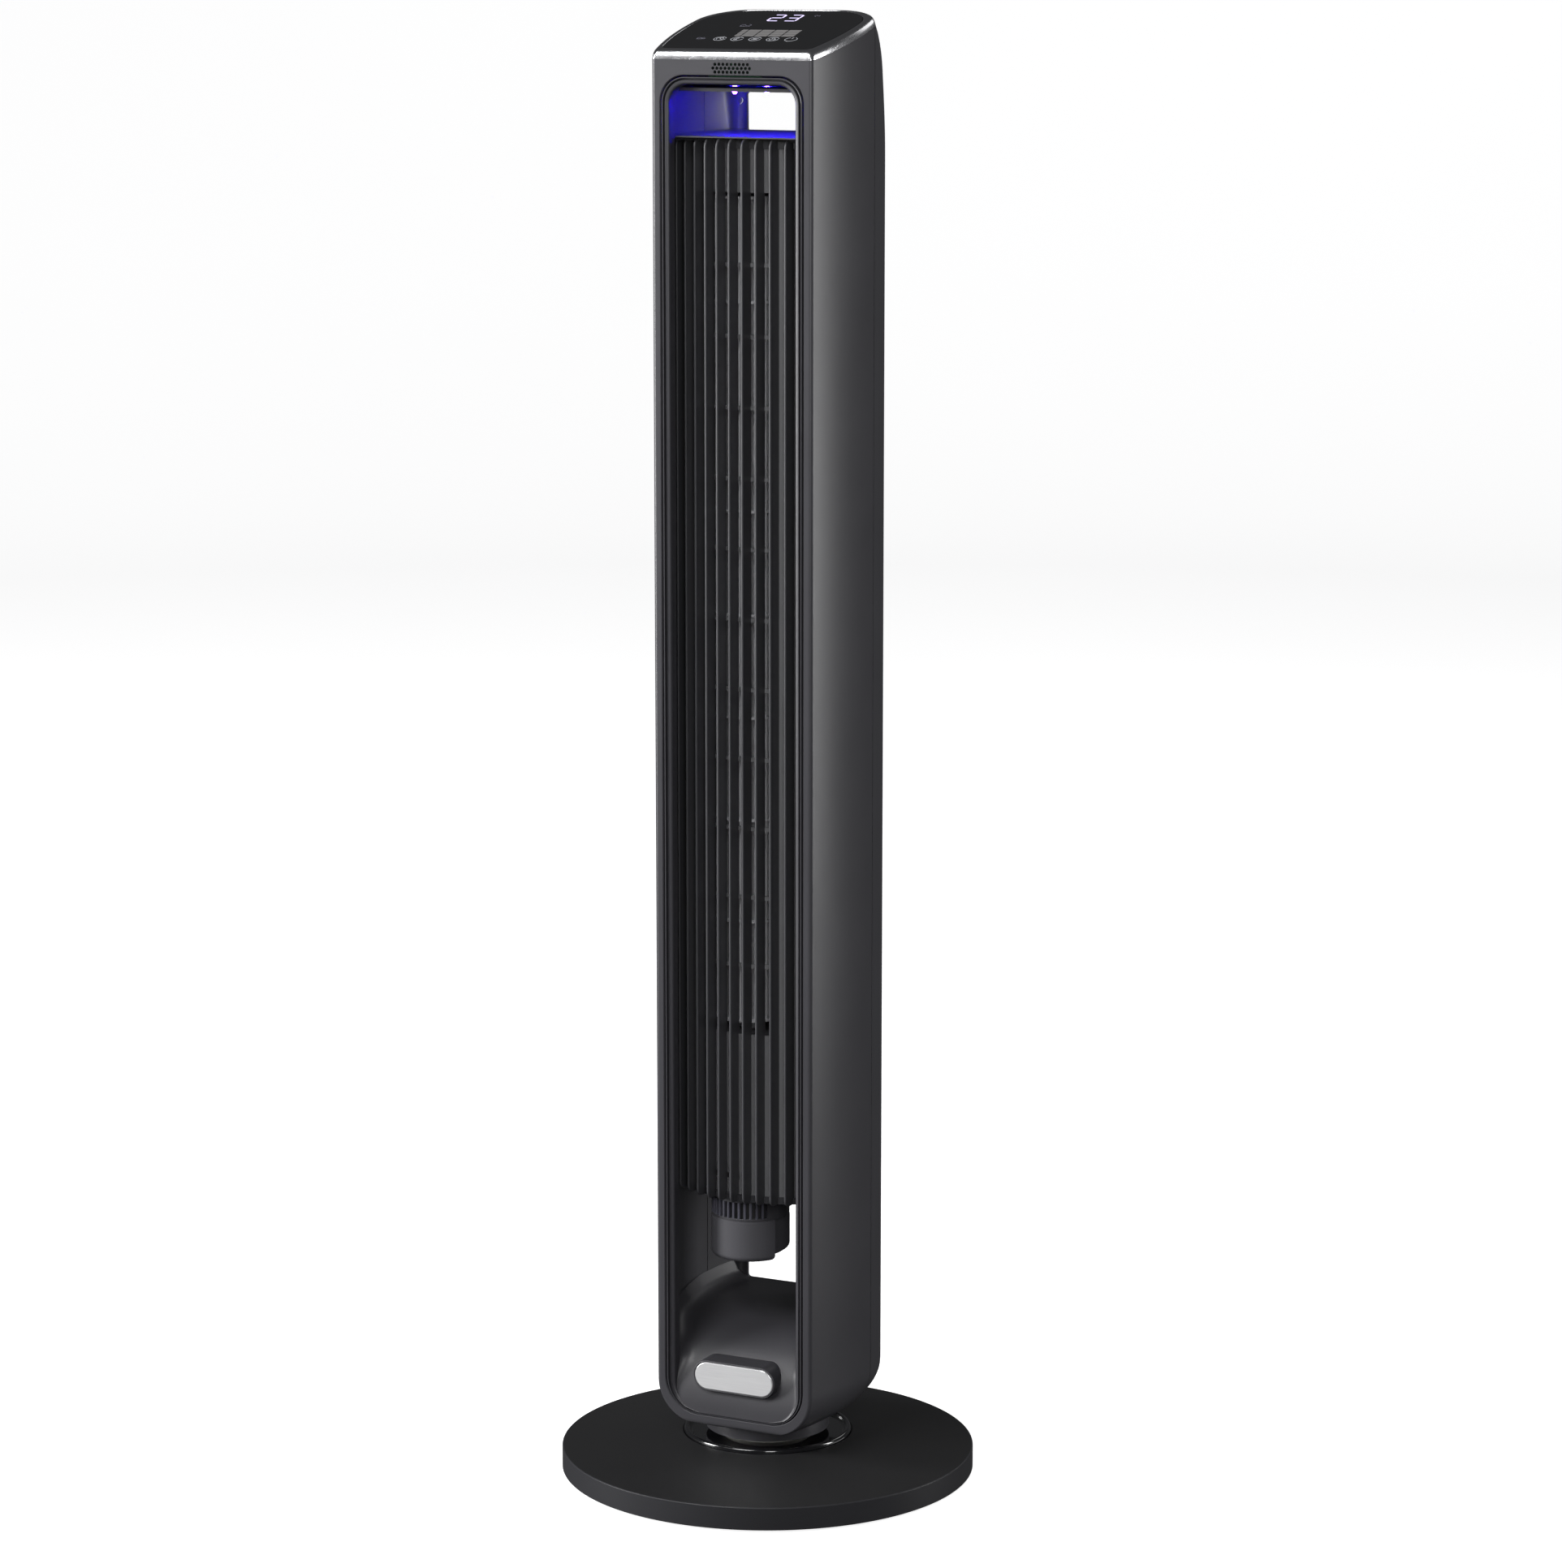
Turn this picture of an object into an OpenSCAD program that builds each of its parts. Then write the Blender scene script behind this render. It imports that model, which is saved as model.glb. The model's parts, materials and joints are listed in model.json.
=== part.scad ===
// Oscillating tower fan: a slim tower on a round base, with a cross-flow blower
// behind a column of vertical fins, and a see-through window above and below it.
// Millimetres. +Z is up, the front faces -Y, and the origin is the middle of the
// base's footprint on the floor. The tower swings about the Z axis.

/* [Base] */
// Diameter of the base disc
base_d = 300; // [260:5:360]
// Height of the base's straight edge above the floor
base_edge_h = 18.6; // [16:0.2:22]
// Height of the base cover's crown, where the collar stands
base_crown_h = 28.5; // [26:0.5:36]
// Wall of the base cover
base_wall = 2.6; // [2:0.1:3.4]
// Thickness of the rubber feet
foot_t = 2; // [1.5:0.1:4]
// Diameter of a rubber foot
foot_d = 18; // [12:1:24]
// Radius of the circle that the feet stand on
feet_ring_r = 124; // [100:1:128]
// Thickness of the steel bottom plate
plate_t = 2; // [1.2:0.1:3]
// Thickness of the ballast ring
ballast_t = 6; // [4:0.5:7]

/* [Swivel] */
// Outer radius of the gloss collar around the swivel
collar_r = 61; // [52:1:70]
// Height of the collar's bead above the crown
collar_bead_h = 2.9; // [2:0.1:4]
// Width of the collar's bead
collar_bead_w = 4; // [3:0.2:6]
// Radius of the tower's foot disc
disc_r = 45; // [40:1:50]
// Height of the foot disc
disc_h = 10.8; // [9:0.2:14]
// Radius of the pivot post
post_r = 14; // [12:0.5:16]
// Radius of the post's bored centre
post_bore_r = 6; // [4:0.5:7]
// Swing to each side, in degrees
swing_angle = 40; // [20:5:60]
// Gear module of the swing drive
gear_module = 1; // [1:0.25:1.25]
// Teeth of the fixed gear on the post
sun_teeth = 48; // [44:2:52]
// Teeth of the swing motor's pinion
pinion_teeth = 12; // [10:2:14]
// Face width of the swing gears
gear_w = 7; // [5:0.5:9]
// Diameter of the swing motor
swing_motor_d = 35; // [28:1:36]

/* [Tower shell] */
// Height of the shell at its front, above its underside
tower_h = 976; // [820:2:1180]
// Front face, ahead of the swing axis
front_depth = 55.2; // [52:0.2:60]
// Rear face, behind the swing axis
rear_depth = 70; // [66:0.5:84]
// Half width of the front face
front_half_w = 61.3; // [60:0.1:66]
// Half width of the shell at its widest
mid_half_w = 69.5; // [68:0.5:76]
// Where the shell is widest, behind the swing axis
bulge_y = 5; // [0:1:15]
// Radius of the front vertical edges
front_edge_r = 3; // [2.9:0.1:6]
// Radius of the rear vertical edges
rear_edge_r = 13.4; // [10:0.2:20]
// Wall of the shell
shell_wall = 2.6; // [2:0.1:2.8]
// Radius of the lower side edges
low_side_r = 30; // [20:1:34]
// Radius of the lower rear edge
low_rear_r = 34; // [20:1:36]
// Radius of the upper rear edge
high_rear_r = 45; // [30:1:50]
// Where the front and rear shells meet, behind the swing axis
seam_y = 32; // [26:1:36]
// Slope of the top, in degrees
top_tilt = 14; // [8:1:18]

/* [Openings] */
// Half width of the front opening's rebate
frame_half_w = 55; // [53:0.2:56]
// Width of the frame band around the front opening
frame_band = 6.5; // [5:0.5:8]
// Bottom of the rebate, above the shell's underside
frame_low = 7.4; // [6:0.2:12]
// Top of the rebate, below the shell's front top edge
frame_drop = 10.9; // [8:0.1:16]
// Upper corner radius of the rebate
frame_top_r = 18.5; // [16:0.5:24]
// Lower corner radius of the rebate
frame_low_r = 26; // [18:0.5:30]
// Half width of the rear windows
window_half_w = 50; // [44:1:52]
// Sill of the lower window, above the shell's underside
sill_h = 76; // [66:1:84]
// Ceiling of the upper window, below the shell's front top edge
ceiling_drop = 22; // [20:0.5:26]

/* [Column] */
// Underside of the column, above the shell's underside
column_low = 166; // [156:1:190]
// Top of the column, below the shell's front top edge
column_drop = 52.5; // [46:0.5:70]
// Half width of the column
column_half_w = 57.6; // [54:0.2:58]
// Radius of the column's front wall
column_r = 80; // [74:1:90]
// Front of the column's wall, ahead of the swing axis
column_front = 37.9; // [36:0.1:39]
// Wall of the column
column_wall = 2.2; // [1.6:0.1:2.6]
// Number of fins
fin_count = 12; // [8:2:14]
// Distance between fins
fin_pitch = 10; // [8:0.2:10]
// Thickness of a fin
fin_t = 1.8; // [1.4:0.1:2.4]
// Depth of a fin
fin_depth = 12; // [8:0.5:12.5]
// Left edge of the air outlet
outlet_left = -36; // [-40:1:-34]
// Right edge of the air outlet
outlet_right = 22; // [18:1:28]
// Number of cross bars on the outlet guard
bar_count = 11; // [7:1:14]

/* [Blower] */
// Impeller axis, to the right of the swing axis
imp_x = -9; // [-11:0.5:-7]
// Impeller axis, behind the swing axis
imp_y = -9.5; // [-9.5:0.5:-6]
// Radius of the impeller
imp_r = 24.3; // [20:0.1:24.4]
// Number of blades
blade_count = 24; // [18:1:30]
// Number of impeller sections
section_count = 8; // [6:1:10]
// Radius of the motor shaft and the impeller's end pin
shaft_r = 3; // [2.5:0.1:3.5]
// Radius of the motor's stator
stator_r = 24; // [22:0.5:24.3]
// Radius of the motor cover
cup_r = 28.5; // [27.5:0.5:32]
// Height of the motor cover
cup_h = 30.4; // [26:0.2:34]
// Height of the vent ring above the motor cover
vent_h = 16; // [12:0.5:18]
// Number of vent slots
vent_count = 40; // [24:1:44]

/* [Hidden] */
$fn = 64;
eps = 0.01;
far = 400;                // wider than the fan
tall = tower_h + 200;     // taller than the fan

// Clearances
fit = 0.2;          // parts that slide together by hand
run = 0.05;         // radial, a shaft in its bearing
body_gap = 0.4;     // faces of bodies that move past each other
screw_r = 1.5;
screw_clear = 0.15;
head_r = 2.9;
head_h = 2;

// Levels of the base
plate_z = foot_t;
ballast_z = plate_z + plate_t;
recess_floor = base_crown_h - 2;
recess_under = recess_floor - base_wall;
flange_t = 3;
flange_r = 38;
disc_z = base_crown_h + collar_bead_h + 0.8;
tower_z = disc_z + disc_h;
hub_r = 22;
hub_top = tower_z + shell_wall + 2.6;
spigot_r = 10;
washer_t = 1;
washer_z = hub_top + body_gap;
gear_z = washer_z + washer_t;
nut_h = 4;
post_top = gear_z + gear_w + nut_h + 1;
sun_pitch_r = gear_module * sun_teeth / 2;
pinion_pitch_r = gear_module * pinion_teeth / 2;
gear_backlash = 0.25;
gear_centre = sun_pitch_r + pinion_pitch_r + gear_backlash;
swing_motor_h = 15;
swing_motor_z = post_top + 1;
ear_pitch = swing_motor_d + 7;
output_shaft_r = 2.5;

// Levels of the tower
shell_top_z = tower_z + tower_h;
column_z0 = tower_z + column_low;
column_z1 = shell_top_z - column_drop;
top_plate_t = 3.5;
wall_z1 = column_z1 - top_plate_t;
outlet_z0 = column_z0 + 123;
outlet_z1 = column_z1 - 38.5;
ceiling_z = shell_top_z - ceiling_drop;
sill_z = tower_z + sill_h;
frame_z0 = tower_z + frame_low;
frame_z1 = shell_top_z - frame_drop;
window_top = ceiling_z - 3.7;
window_low = column_z1 - 1.3;
imp_z0 = outlet_z0 + 7;
imp_z1 = outlet_z1 - 3;
motor_z = column_z0 + 22;
trim_h = 6.15;

// Plan outline of the shell: a circle bulges each side, and the vertical edges
// are arcs tangent to it.
side_rise = mid_half_w - front_half_w;
side_r = (pow(side_rise, 2) + pow(front_depth + bulge_y, 2)) / (2 * side_rise);
side_cx = mid_half_w - side_r;
front_edge_y = -front_depth + front_edge_r;
front_edge_x = side_cx + sqrt(pow(side_r - front_edge_r, 2) - pow(front_edge_y - bulge_y, 2));
rear_edge_y = rear_depth - rear_edge_r;
rear_edge_x = side_cx + sqrt(pow(side_r - rear_edge_r, 2) - pow(rear_edge_y - bulge_y, 2));
side_a0 = atan2(front_edge_y - bulge_y, front_edge_x - side_cx);
side_a1 = atan2(rear_edge_y - bulge_y, rear_edge_x - side_cx);

function arc_pts(cx, cy, r, a0, a1, n) =
    [for (i = [0:n]) let (a = a0 + (a1 - a0) * i / n) [cx + r * cos(a), cy + r * sin(a)]];
function mirrored(pts) = [for (i = [len(pts) - 1:-1:0]) [-pts[i][0], pts[i][1]]];
function right_half(t) = concat(
    arc_pts(front_edge_x, front_edge_y, max(front_edge_r - t, 0.1), -90, side_a0, 3),
    arc_pts(side_cx, bulge_y, side_r - t, side_a0 + 1, side_a1 - 1, 9),
    arc_pts(rear_edge_x, rear_edge_y, max(rear_edge_r - t, 0.1), side_a1, 90, 5));
function plan_pts(t) = concat(right_half(t), mirrored(right_half(t)));

// Rounded rectangle with its own upper and lower corner radii
function round_rect(hw, z0, z1, r_low, r_top, n = 6) = concat(
    arc_pts(hw - r_low, z0 + r_low, r_low, -90, 0, n),
    arc_pts(hw - r_top, z1 - r_top, r_top, 0, 90, n),
    arc_pts(-hw + r_top, z1 - r_top, r_top, 90, 180, n),
    arc_pts(-hw + r_low, z0 + r_low, r_low, 180, 270, n));

// Height of the sloping top plane at a distance behind the swing axis
function top_z(y) = shell_top_z + (y + front_depth) * tan(top_tilt);

module along_x(h) rotate([90, 0, 90]) linear_extrude(h, center = true) children();
module along_y(y0, y1) translate([0, y1, 0]) rotate([90, 0, 0]) linear_extrude(y1 - y0) children();
module at_z(z) translate([0, 0, z]) children();
module ring(r0, r1, z0, z1) at_z(z0) difference() {
    cylinder(r = r1, h = z1 - z0);
    at_z(-1) cylinder(r = r0, h = z1 - z0 + 2);
}
module about(n, r, start = 0)
    for (i = [0:n - 1]) rotate(start + i * 360 / n) translate([r, 0, 0]) children();
module plan_prism(t, z0, z1) at_z(z0) linear_extrude(z1 - z0) polygon(plan_pts(t));

// The tower's outline moved inwards by t, open above
module tower_form(t) intersection() {
    plan_prism(t, tower_z - 10, shell_top_z + 60);
    along_x(far) polygon(concat(
        [[-front_depth - 9, tower_z + t]],
        arc_pts(rear_depth - low_rear_r, tower_z + low_rear_r, low_rear_r - t, -90, 0, 6),
        arc_pts(rear_depth - high_rear_r, shell_top_z - 9, high_rear_r - t, 0, 78, 8),
        [[rear_depth - high_rear_r, shell_top_z + 90], [-front_depth - 9, shell_top_z + 90]]));
    rotate([90, 0, 0]) linear_extrude(far, center = true) polygon(concat(
        arc_pts(mid_half_w - low_side_r, tower_z + low_side_r, low_side_r - t, -90, 0, 6),
        [[mid_half_w - t, shell_top_z + 90], [-mid_half_w + t, shell_top_z + 90]],
        arc_pts(-mid_half_w + low_side_r, tower_z + low_side_r, low_side_r - t, 180, 270, 6)));
}
// Everything above the sloping top plane, lifted by dz
module above_top(dz) translate([0, -front_depth, shell_top_z + dz])
    rotate([top_tilt, 0, 0]) translate([-far / 2, -60, 0]) cube([far, far, 200]);
module below_top(dz) translate([0, -front_depth, shell_top_z + dz])
    rotate([top_tilt, 0, 0]) translate([-far / 2, -60, -200]) cube([far, far, 200]);
module shell() difference() {
    tower_form(0);
    tower_form(shell_wall);
    above_top(0);
}

// ---- Base -----------------------------------------------------------------

base_r = base_d / 2;
boss_ring_r = base_r - 12;
crown_r = collar_r + fit;

module base_cover() color("#1d1d1f") {
    slope = (base_crown_h - base_edge_h) / (base_r - 2 - crown_r);
    difference() {
        union() {
            rotate_extrude($fn = 128) polygon([
                [base_r, foot_t], [base_r, base_edge_h - 1], [base_r - 1, base_edge_h],
                [crown_r, base_crown_h], [crown_r, recess_floor], [post_r + 4, recess_floor],
                [post_r + 4, recess_under], [crown_r + base_wall, recess_under],
                [base_r - base_wall, base_edge_h - base_wall],
                [base_r - base_wall, foot_t]]);
            about(6, boss_ring_r, 30) at_z(ballast_z) cylinder(r = 4, h = base_edge_h - 1 - ballast_z);
        }
        about(6, boss_ring_r, 30) at_z(-1)
            cylinder(r = screw_r + 0.02, h = base_edge_h - 3 + 1, $fn = 24);
        about(4, flange_r - 6, 45) at_z(recess_under - 1)
            cylinder(r = screw_r + 0.02, h = base_wall + 4, $fn = 24);
    }
}

module base_plate() color("#3a3a3c") difference() {
    at_z(plate_z) cylinder(r = base_r - base_wall - fit, h = plate_t, $fn = 128);
    about(6, boss_ring_r, 30) at_z(plate_z - 1)
        cylinder(r = screw_r + screw_clear, h = plate_t + 2, $fn = 24);
}

module base_weight() color("#55565a")
    ring(flange_r + 18, boss_ring_r - 6, ballast_z, ballast_z + ballast_t, $fn = 96);

module base_feet() color("#151515")
    about(6, feet_ring_r) cylinder(d = foot_d, h = foot_t, $fn = 40);

module base_screws() color("#8d8f92") about(6, boss_ring_r, 30) {
    at_z(plate_z - 1.4) cylinder(r = head_r, h = 1.4, $fn = 24);
    at_z(plate_z - eps) cylinder(r = screw_r, h = 10, $fn = 24);
}

module collar_ring() color("#0c0c0d") rotate_extrude($fn = 128) polygon(concat(
    [[flange_r - 4, recess_floor], [collar_r, recess_floor]],
    arc_pts(collar_r - collar_bead_w / 2, base_crown_h + collar_bead_h - collar_bead_w / 2,
            collar_bead_w / 2, 0, 180, 8),
    [[collar_r - collar_bead_w, recess_floor + 1.8], [flange_r - 4, recess_floor + 1.8]]));

module glide_ring() color("#d8d8d2")
    ring(post_r + 5, flange_r - 6, recess_floor, disc_z - body_gap);

module pivot_post() color("#b9bcc0") difference() {
    union() {
        at_z(recess_under - flange_t) cylinder(r = flange_r, h = flange_t);
        at_z(recess_under - flange_t) cylinder(r = post_r, h = washer_z - recess_under + flange_t);
        at_z(washer_z - 1) cylinder(r = spigot_r, h = post_top - washer_z + 1);
    }
    at_z(recess_under - flange_t - 1) cylinder(r = post_bore_r, h = far);
    about(4, flange_r - 6, 45) at_z(recess_under - flange_t - 1)
        cylinder(r = screw_r + screw_clear, h = flange_t + 2, $fn = 24);
}

module post_screws() color("#8d8f92") about(4, flange_r - 6, 45) {
    at_z(recess_under - flange_t - head_h) cylinder(r = head_r, h = head_h, $fn = 24);
    at_z(recess_under - flange_t - eps) cylinder(r = screw_r, h = flange_t + base_wall, $fn = 24);
}

// Outline of a spur gear with trapezoid teeth
module gear_shape(teeth, turn) {
    pitch_r = gear_module * teeth / 2;
    tip = pitch_r + 0.9 * gear_module;
    root = pitch_r - 1.15 * gear_module;
    step = 360 / teeth;
    rotate(turn) polygon([for (i = [0:teeth - 1], k = [0:3])
        let (a = i * step + [-0.27, -0.13, 0.13, 0.27][k] * step, r = [root, tip, tip, root][k])
        [r * cos(a), r * sin(a)]]);
}

module swing_gear() color("#e6e3da") at_z(gear_z) difference() {
    linear_extrude(gear_w) gear_shape(sun_teeth, 0);
    at_z(-1) cylinder(r = spigot_r + 0.02, h = gear_w + 2);
}

module thrust_washer() color("#c9ccd0")
    ring(spigot_r + 0.02, hub_r - 2, washer_z, washer_z + washer_t);

module post_nut() color("#9a9da1") at_z(gear_z + gear_w) difference() {
    cylinder(r = 15, h = nut_h, $fn = 6);
    at_z(-1) cylinder(r = spigot_r + 0.02, h = nut_h + 2);
}

// ---- Tower foot and swing drive --------------------------------------------

bush_wall = 3;
foot_screw_ring = 30;

module foot_disc() color("#2b2b2e") difference() {
    union() {
        at_z(disc_z) cylinder(r = disc_r, h = disc_h);
        at_z(disc_z) cylinder(r = hub_r, h = hub_top - disc_z);
    }
    at_z(disc_z - 1) cylinder(r = post_r + run + bush_wall + 0.02, h = far);
    about(4, foot_screw_ring, 45) at_z(disc_z + 2)
        cylinder(r = screw_r + 0.02, h = far, $fn = 24);
}

module foot_bushing() color("#e9e6dc")
    ring(post_r + run, post_r + run + bush_wall, disc_z, hub_top);

module foot_screws() color("#8d8f92") about(4, foot_screw_ring, 45) {
    at_z(tower_z + shell_wall) cylinder(r = head_r, h = head_h, $fn = 24);
    at_z(tower_z - 7) cylinder(r = screw_r, h = 7 + shell_wall + eps, $fn = 24);
}

module at_swing_motor() translate([-gear_centre, 0, 0]) children();

module swing_motor() color("#b4b7ba") at_swing_motor() at_z(swing_motor_z) difference() {
    union() {
        cylinder(d = swing_motor_d, h = swing_motor_h);
        translate([-4.5, -ear_pitch / 2, 0]) cube([9, ear_pitch, 1.2]);
        for (s = [-1, 1]) translate([0, s * ear_pitch / 2, 0]) cylinder(r = 4.5, h = 1.2);
        at_z(-1.8) cylinder(r = 4.5, h = 3);
    }
    at_z(-3) cylinder(r = output_shaft_r + run, h = 12);
    for (s = [-1, 1]) translate([0, s * ear_pitch / 2, -1])
        cylinder(r = screw_r + screw_clear, h = 4, $fn = 24);
}

module swing_motor_screws() color("#8d8f92") at_swing_motor()
    for (s = [-1, 1]) translate([0, s * ear_pitch / 2, swing_motor_z]) {
        at_z(1.2) cylinder(r = head_r, h = head_h, $fn = 24);
        at_z(-7) cylinder(r = screw_r, h = 8.2 + eps, $fn = 24);
    }

module swing_pinion() color("#e6e3da") at_swing_motor() at_z(gear_z) difference() {
    linear_extrude(gear_w) gear_shape(pinion_teeth, 180 / pinion_teeth);
    at_z(-1) cylinder(r = output_shaft_r + 0.02, h = gear_w + 2, $fn = 32);
}

module pinion_shaft() color("#c9ccd0") at_swing_motor()
    at_z(gear_z) cylinder(r = output_shaft_r, h = swing_motor_z + 6 - gear_z, $fn = 32);

// ---- Tower shell ------------------------------------------------------------

rear_screw_x = mid_half_w - 7.7;
rear_screw_z = [sill_z + 25, (sill_z + ceiling_z) / 2, ceiling_z - 10];
lug_r = 3.6;
head_seat_y = seam_y + 14;
hole_r = 1.15;
hole_pitch = 3.12;
hole_row_pitch = 2.65;
hole_row_drop = 5.8;

module at_rear_screws() for (s = [-1, 1], z = rear_screw_z) translate([s * rear_screw_x, 0, z])
    children();

module sensor_holes() for (row = [-1:1]) {
    count = row == 0 ? 10 : 9;
    for (i = [0:count - 1])
        translate([(i - (count - 1) / 2) * hole_pitch, -front_depth - 1,
                   shell_top_z - hole_row_drop + row * hole_row_pitch])
            rotate([-90, 0, 0]) cylinder(r = hole_r, h = shell_wall + 2, $fn = 16);
}

module front_housing() color("#3a3a3f") difference() {
    union() {
        difference() {
            shell();
            translate([-far / 2, seam_y, 0]) cube([far, far, tall]);
            along_y(-front_depth - 5, -front_depth + 8)
                polygon(round_rect(frame_half_w, frame_z0, frame_z1, frame_low_r, frame_top_r));
            sensor_holes();
        }
        at_swing_motor() for (s = [-1, 1]) translate([0, s * ear_pitch / 2, tower_z + 1])
            cylinder(r = 4, h = swing_motor_z - tower_z - 1);
        intersection() {
            at_rear_screws() {
                translate([0, seam_y, 0]) rotate([90, 0, 0]) cylinder(r = lug_r, h = 20);
            }
            tower_form(1);
        }
        intersection() {
            for (s = [-1, 1], z = rear_screw_z)
                translate([s > 0 ? rear_screw_x : -rear_screw_x - 8, seam_y - 20, z - 1.2])
                    cube([8, 20, 2.4]);
            tower_form(1);
        }
    }
    at_z(tower_z - 5) cylinder(r = hub_r + fit, h = 20);
    about(4, foot_screw_ring, 45) at_z(tower_z - 5)
        cylinder(r = screw_r + screw_clear, h = 5 + shell_wall + 1, $fn = 24);
    at_swing_motor() for (s = [-1, 1]) translate([0, s * ear_pitch / 2, swing_motor_z - 8])
        cylinder(r = screw_r + 0.02, h = 9, $fn = 24);
    at_rear_screws() translate([0, seam_y + 1, 0]) rotate([90, 0, 0])
        cylinder(r = screw_r + 0.02, h = 18, $fn = 24);
}

inlet_r = 6;
inlet_z = tower_z + 34;
intake_half_w = 45;
intake_z0 = outlet_z0 - 2;
intake_z1 = outlet_z1 + 2;

module rear_cover() color("#303035") difference() {
    union() {
        difference() {
            shell();
            translate([-far / 2, seam_y - far, 0]) cube([far, far, tall]);
            along_y(seam_y, rear_depth + 5)
                polygon(round_rect(window_half_w - 1, window_low, window_top, 2.5, 2.5, 3));
            along_y(seam_y, rear_depth + 5)
                polygon(round_rect(window_half_w, sill_z, column_z0, 2.5, 2.5, 3));
            along_y(seam_y, rear_depth + 5)
                polygon(round_rect(intake_half_w, intake_z0, intake_z1, 4, 4, 3));
        }
        intersection() {
            at_rear_screws() translate([0, rear_depth, 0]) rotate([90, 0, 0])
                cylinder(r = lug_r, h = rear_depth - seam_y - fit);
            tower_form(1);
        }
        intersection() {
            for (s = [-1, 1], z = rear_screw_z)
                translate([s > 0 ? rear_screw_x : -rear_screw_x - 8, seam_y + fit, z - 1.2])
                    cube([8, 30, 2.4]);
            tower_form(1);
        }
    }
    at_rear_screws() translate([0, head_seat_y, 0]) rotate([-90, 0, 0])
        cylinder(r = head_r + 0.2, h = 60, $fn = 24);
    at_rear_screws() translate([0, seam_y - 1, 0]) rotate([-90, 0, 0])
        cylinder(r = screw_r + screw_clear, h = 60, $fn = 24);
    translate([0, rear_depth - 12, inlet_z]) rotate([-90, 0, 0]) cylinder(r = inlet_r, h = 20);
}

module rear_screws() color("#8d8f92") at_rear_screws() {
    translate([0, head_seat_y, 0]) rotate([-90, 0, 0]) cylinder(r = head_r, h = head_h, $fn = 24);
    translate([0, seam_y - 15, 0]) rotate([-90, 0, 0])
        cylinder(r = screw_r, h = head_seat_y - seam_y + 15 + eps, $fn = 24);
}

slot_cols = 13;
slot_rows = 3;
slot_w = 3.6;

module intake_grille() color("#2b2b30") difference() {
    along_y(rear_depth - shell_wall, rear_depth)
        polygon(round_rect(intake_half_w - fit, intake_z0 + fit, intake_z1 - fit, 4 - fit, 4 - fit, 3));
    row_h = (intake_z1 - intake_z0 - 16) / slot_rows;
    for (i = [0:slot_cols - 1], k = [0:slot_rows - 1])
        translate([(i - (slot_cols - 1) / 2) * 6.4 - slot_w / 2, rear_depth - shell_wall - 1,
                   intake_z0 + 8 + k * row_h + 3])
            cube([slot_w, shell_wall + 2, row_h - 6]);
}

module filter_mesh() color("#6f7276")
    along_y(rear_depth - shell_wall - 3, rear_depth - shell_wall)
        polygon(round_rect(intake_half_w - 1, intake_z0 + 2, intake_z1 - 2, 3, 3, 3));

module cord_inlet() color("#141416") difference() {
    union() {
        translate([0, rear_depth - shell_wall - 4, inlet_z]) rotate([-90, 0, 0])
            cylinder(r = inlet_r - 0.05, h = shell_wall + 5);
        translate([0, rear_depth, inlet_z]) rotate([-90, 0, 0])
            cylinder(r = inlet_r + 2.4, h = 1.6);
    }
    translate([0, rear_depth - 12, inlet_z]) rotate([-90, 0, 0]) cylinder(r = 3.6, h = 20);
}

lip_depth = 9;
module opening_frame() color("#424247") {
    inner_hw = frame_half_w - frame_band;
    difference() {
        union() {
            along_y(-front_depth, -front_depth + shell_wall)
                polygon(round_rect(frame_half_w - fit, frame_z0 + fit, frame_z1 - fit,
                                   frame_low_r - fit, frame_top_r - fit));
            along_y(-front_depth + 1, -front_depth + lip_depth)
                polygon(round_rect(inner_hw + 2, frame_z0 + 1, frame_z1 - frame_band + 1.2,
                                   frame_low_r - 5, frame_top_r - 4));
        }
        along_y(-front_depth - 1, -front_depth + lip_depth + 1)
            polygon(round_rect(inner_hw, frame_z0 + 2.4, frame_z1 - frame_band - 0.8,
                               frame_low_r - 6.4, frame_top_r - 5));
    }
}

// The ramp under the lower window: a soft curve from the front sill up to the
// rear window's sill, with a raised pad for the nameplate.
ramp_front = -front_depth + 9.4;
ramp_rear = rear_depth - shell_wall - fit;
ramp_wall = 2.4;
plate_half_w = 31.3;
plate_half_h = 10;
plate_z_mid = tower_z + 37.5;
pad_margin = 1.2;
function ramp_pts(t, n = 14) = [for (i = [0:n]) let (a = 90 * i / n)
    [ramp_rear - (ramp_rear - ramp_front - t) * pow(cos(a), 0.5),
     frame_z0 + (sill_z - t - frame_z0) * pow(sin(a), 0.5)]];

module pill(hw, hh, y0, y1) along_y(y0, y1)
    polygon(round_rect(hw, plate_z_mid - hh, plate_z_mid + hh, hh, hh, 8));

module lower_ramp() color("#3d3d42") difference() {
    intersection() {
        union() {
            along_x(far) polygon(concat(ramp_pts(0), [[ramp_rear, frame_z0]]));
            pill(plate_half_w + pad_margin, plate_half_h + pad_margin, -front_depth - 0.2, 0);
        }
        tower_form(shell_wall + fit);
    }
    along_x(far) polygon(concat(ramp_pts(ramp_wall), [[ramp_rear + 1, sill_z - ramp_wall],
                                                      [ramp_rear + 1, frame_z0 - 1],
                                                      [ramp_front + ramp_wall, frame_z0 - 1]]));
}

module nameplate() color("#c4c5c8")
    pill(plate_half_w, plate_half_h, -front_depth - 0.2, -front_depth + shell_wall);

// ---- Column and blower --------------------------------------------------------

column_cy = column_r - column_front;
column_rear = rear_depth - shell_wall - 4.4;
fin_front_r = column_r + fin_depth;

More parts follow.
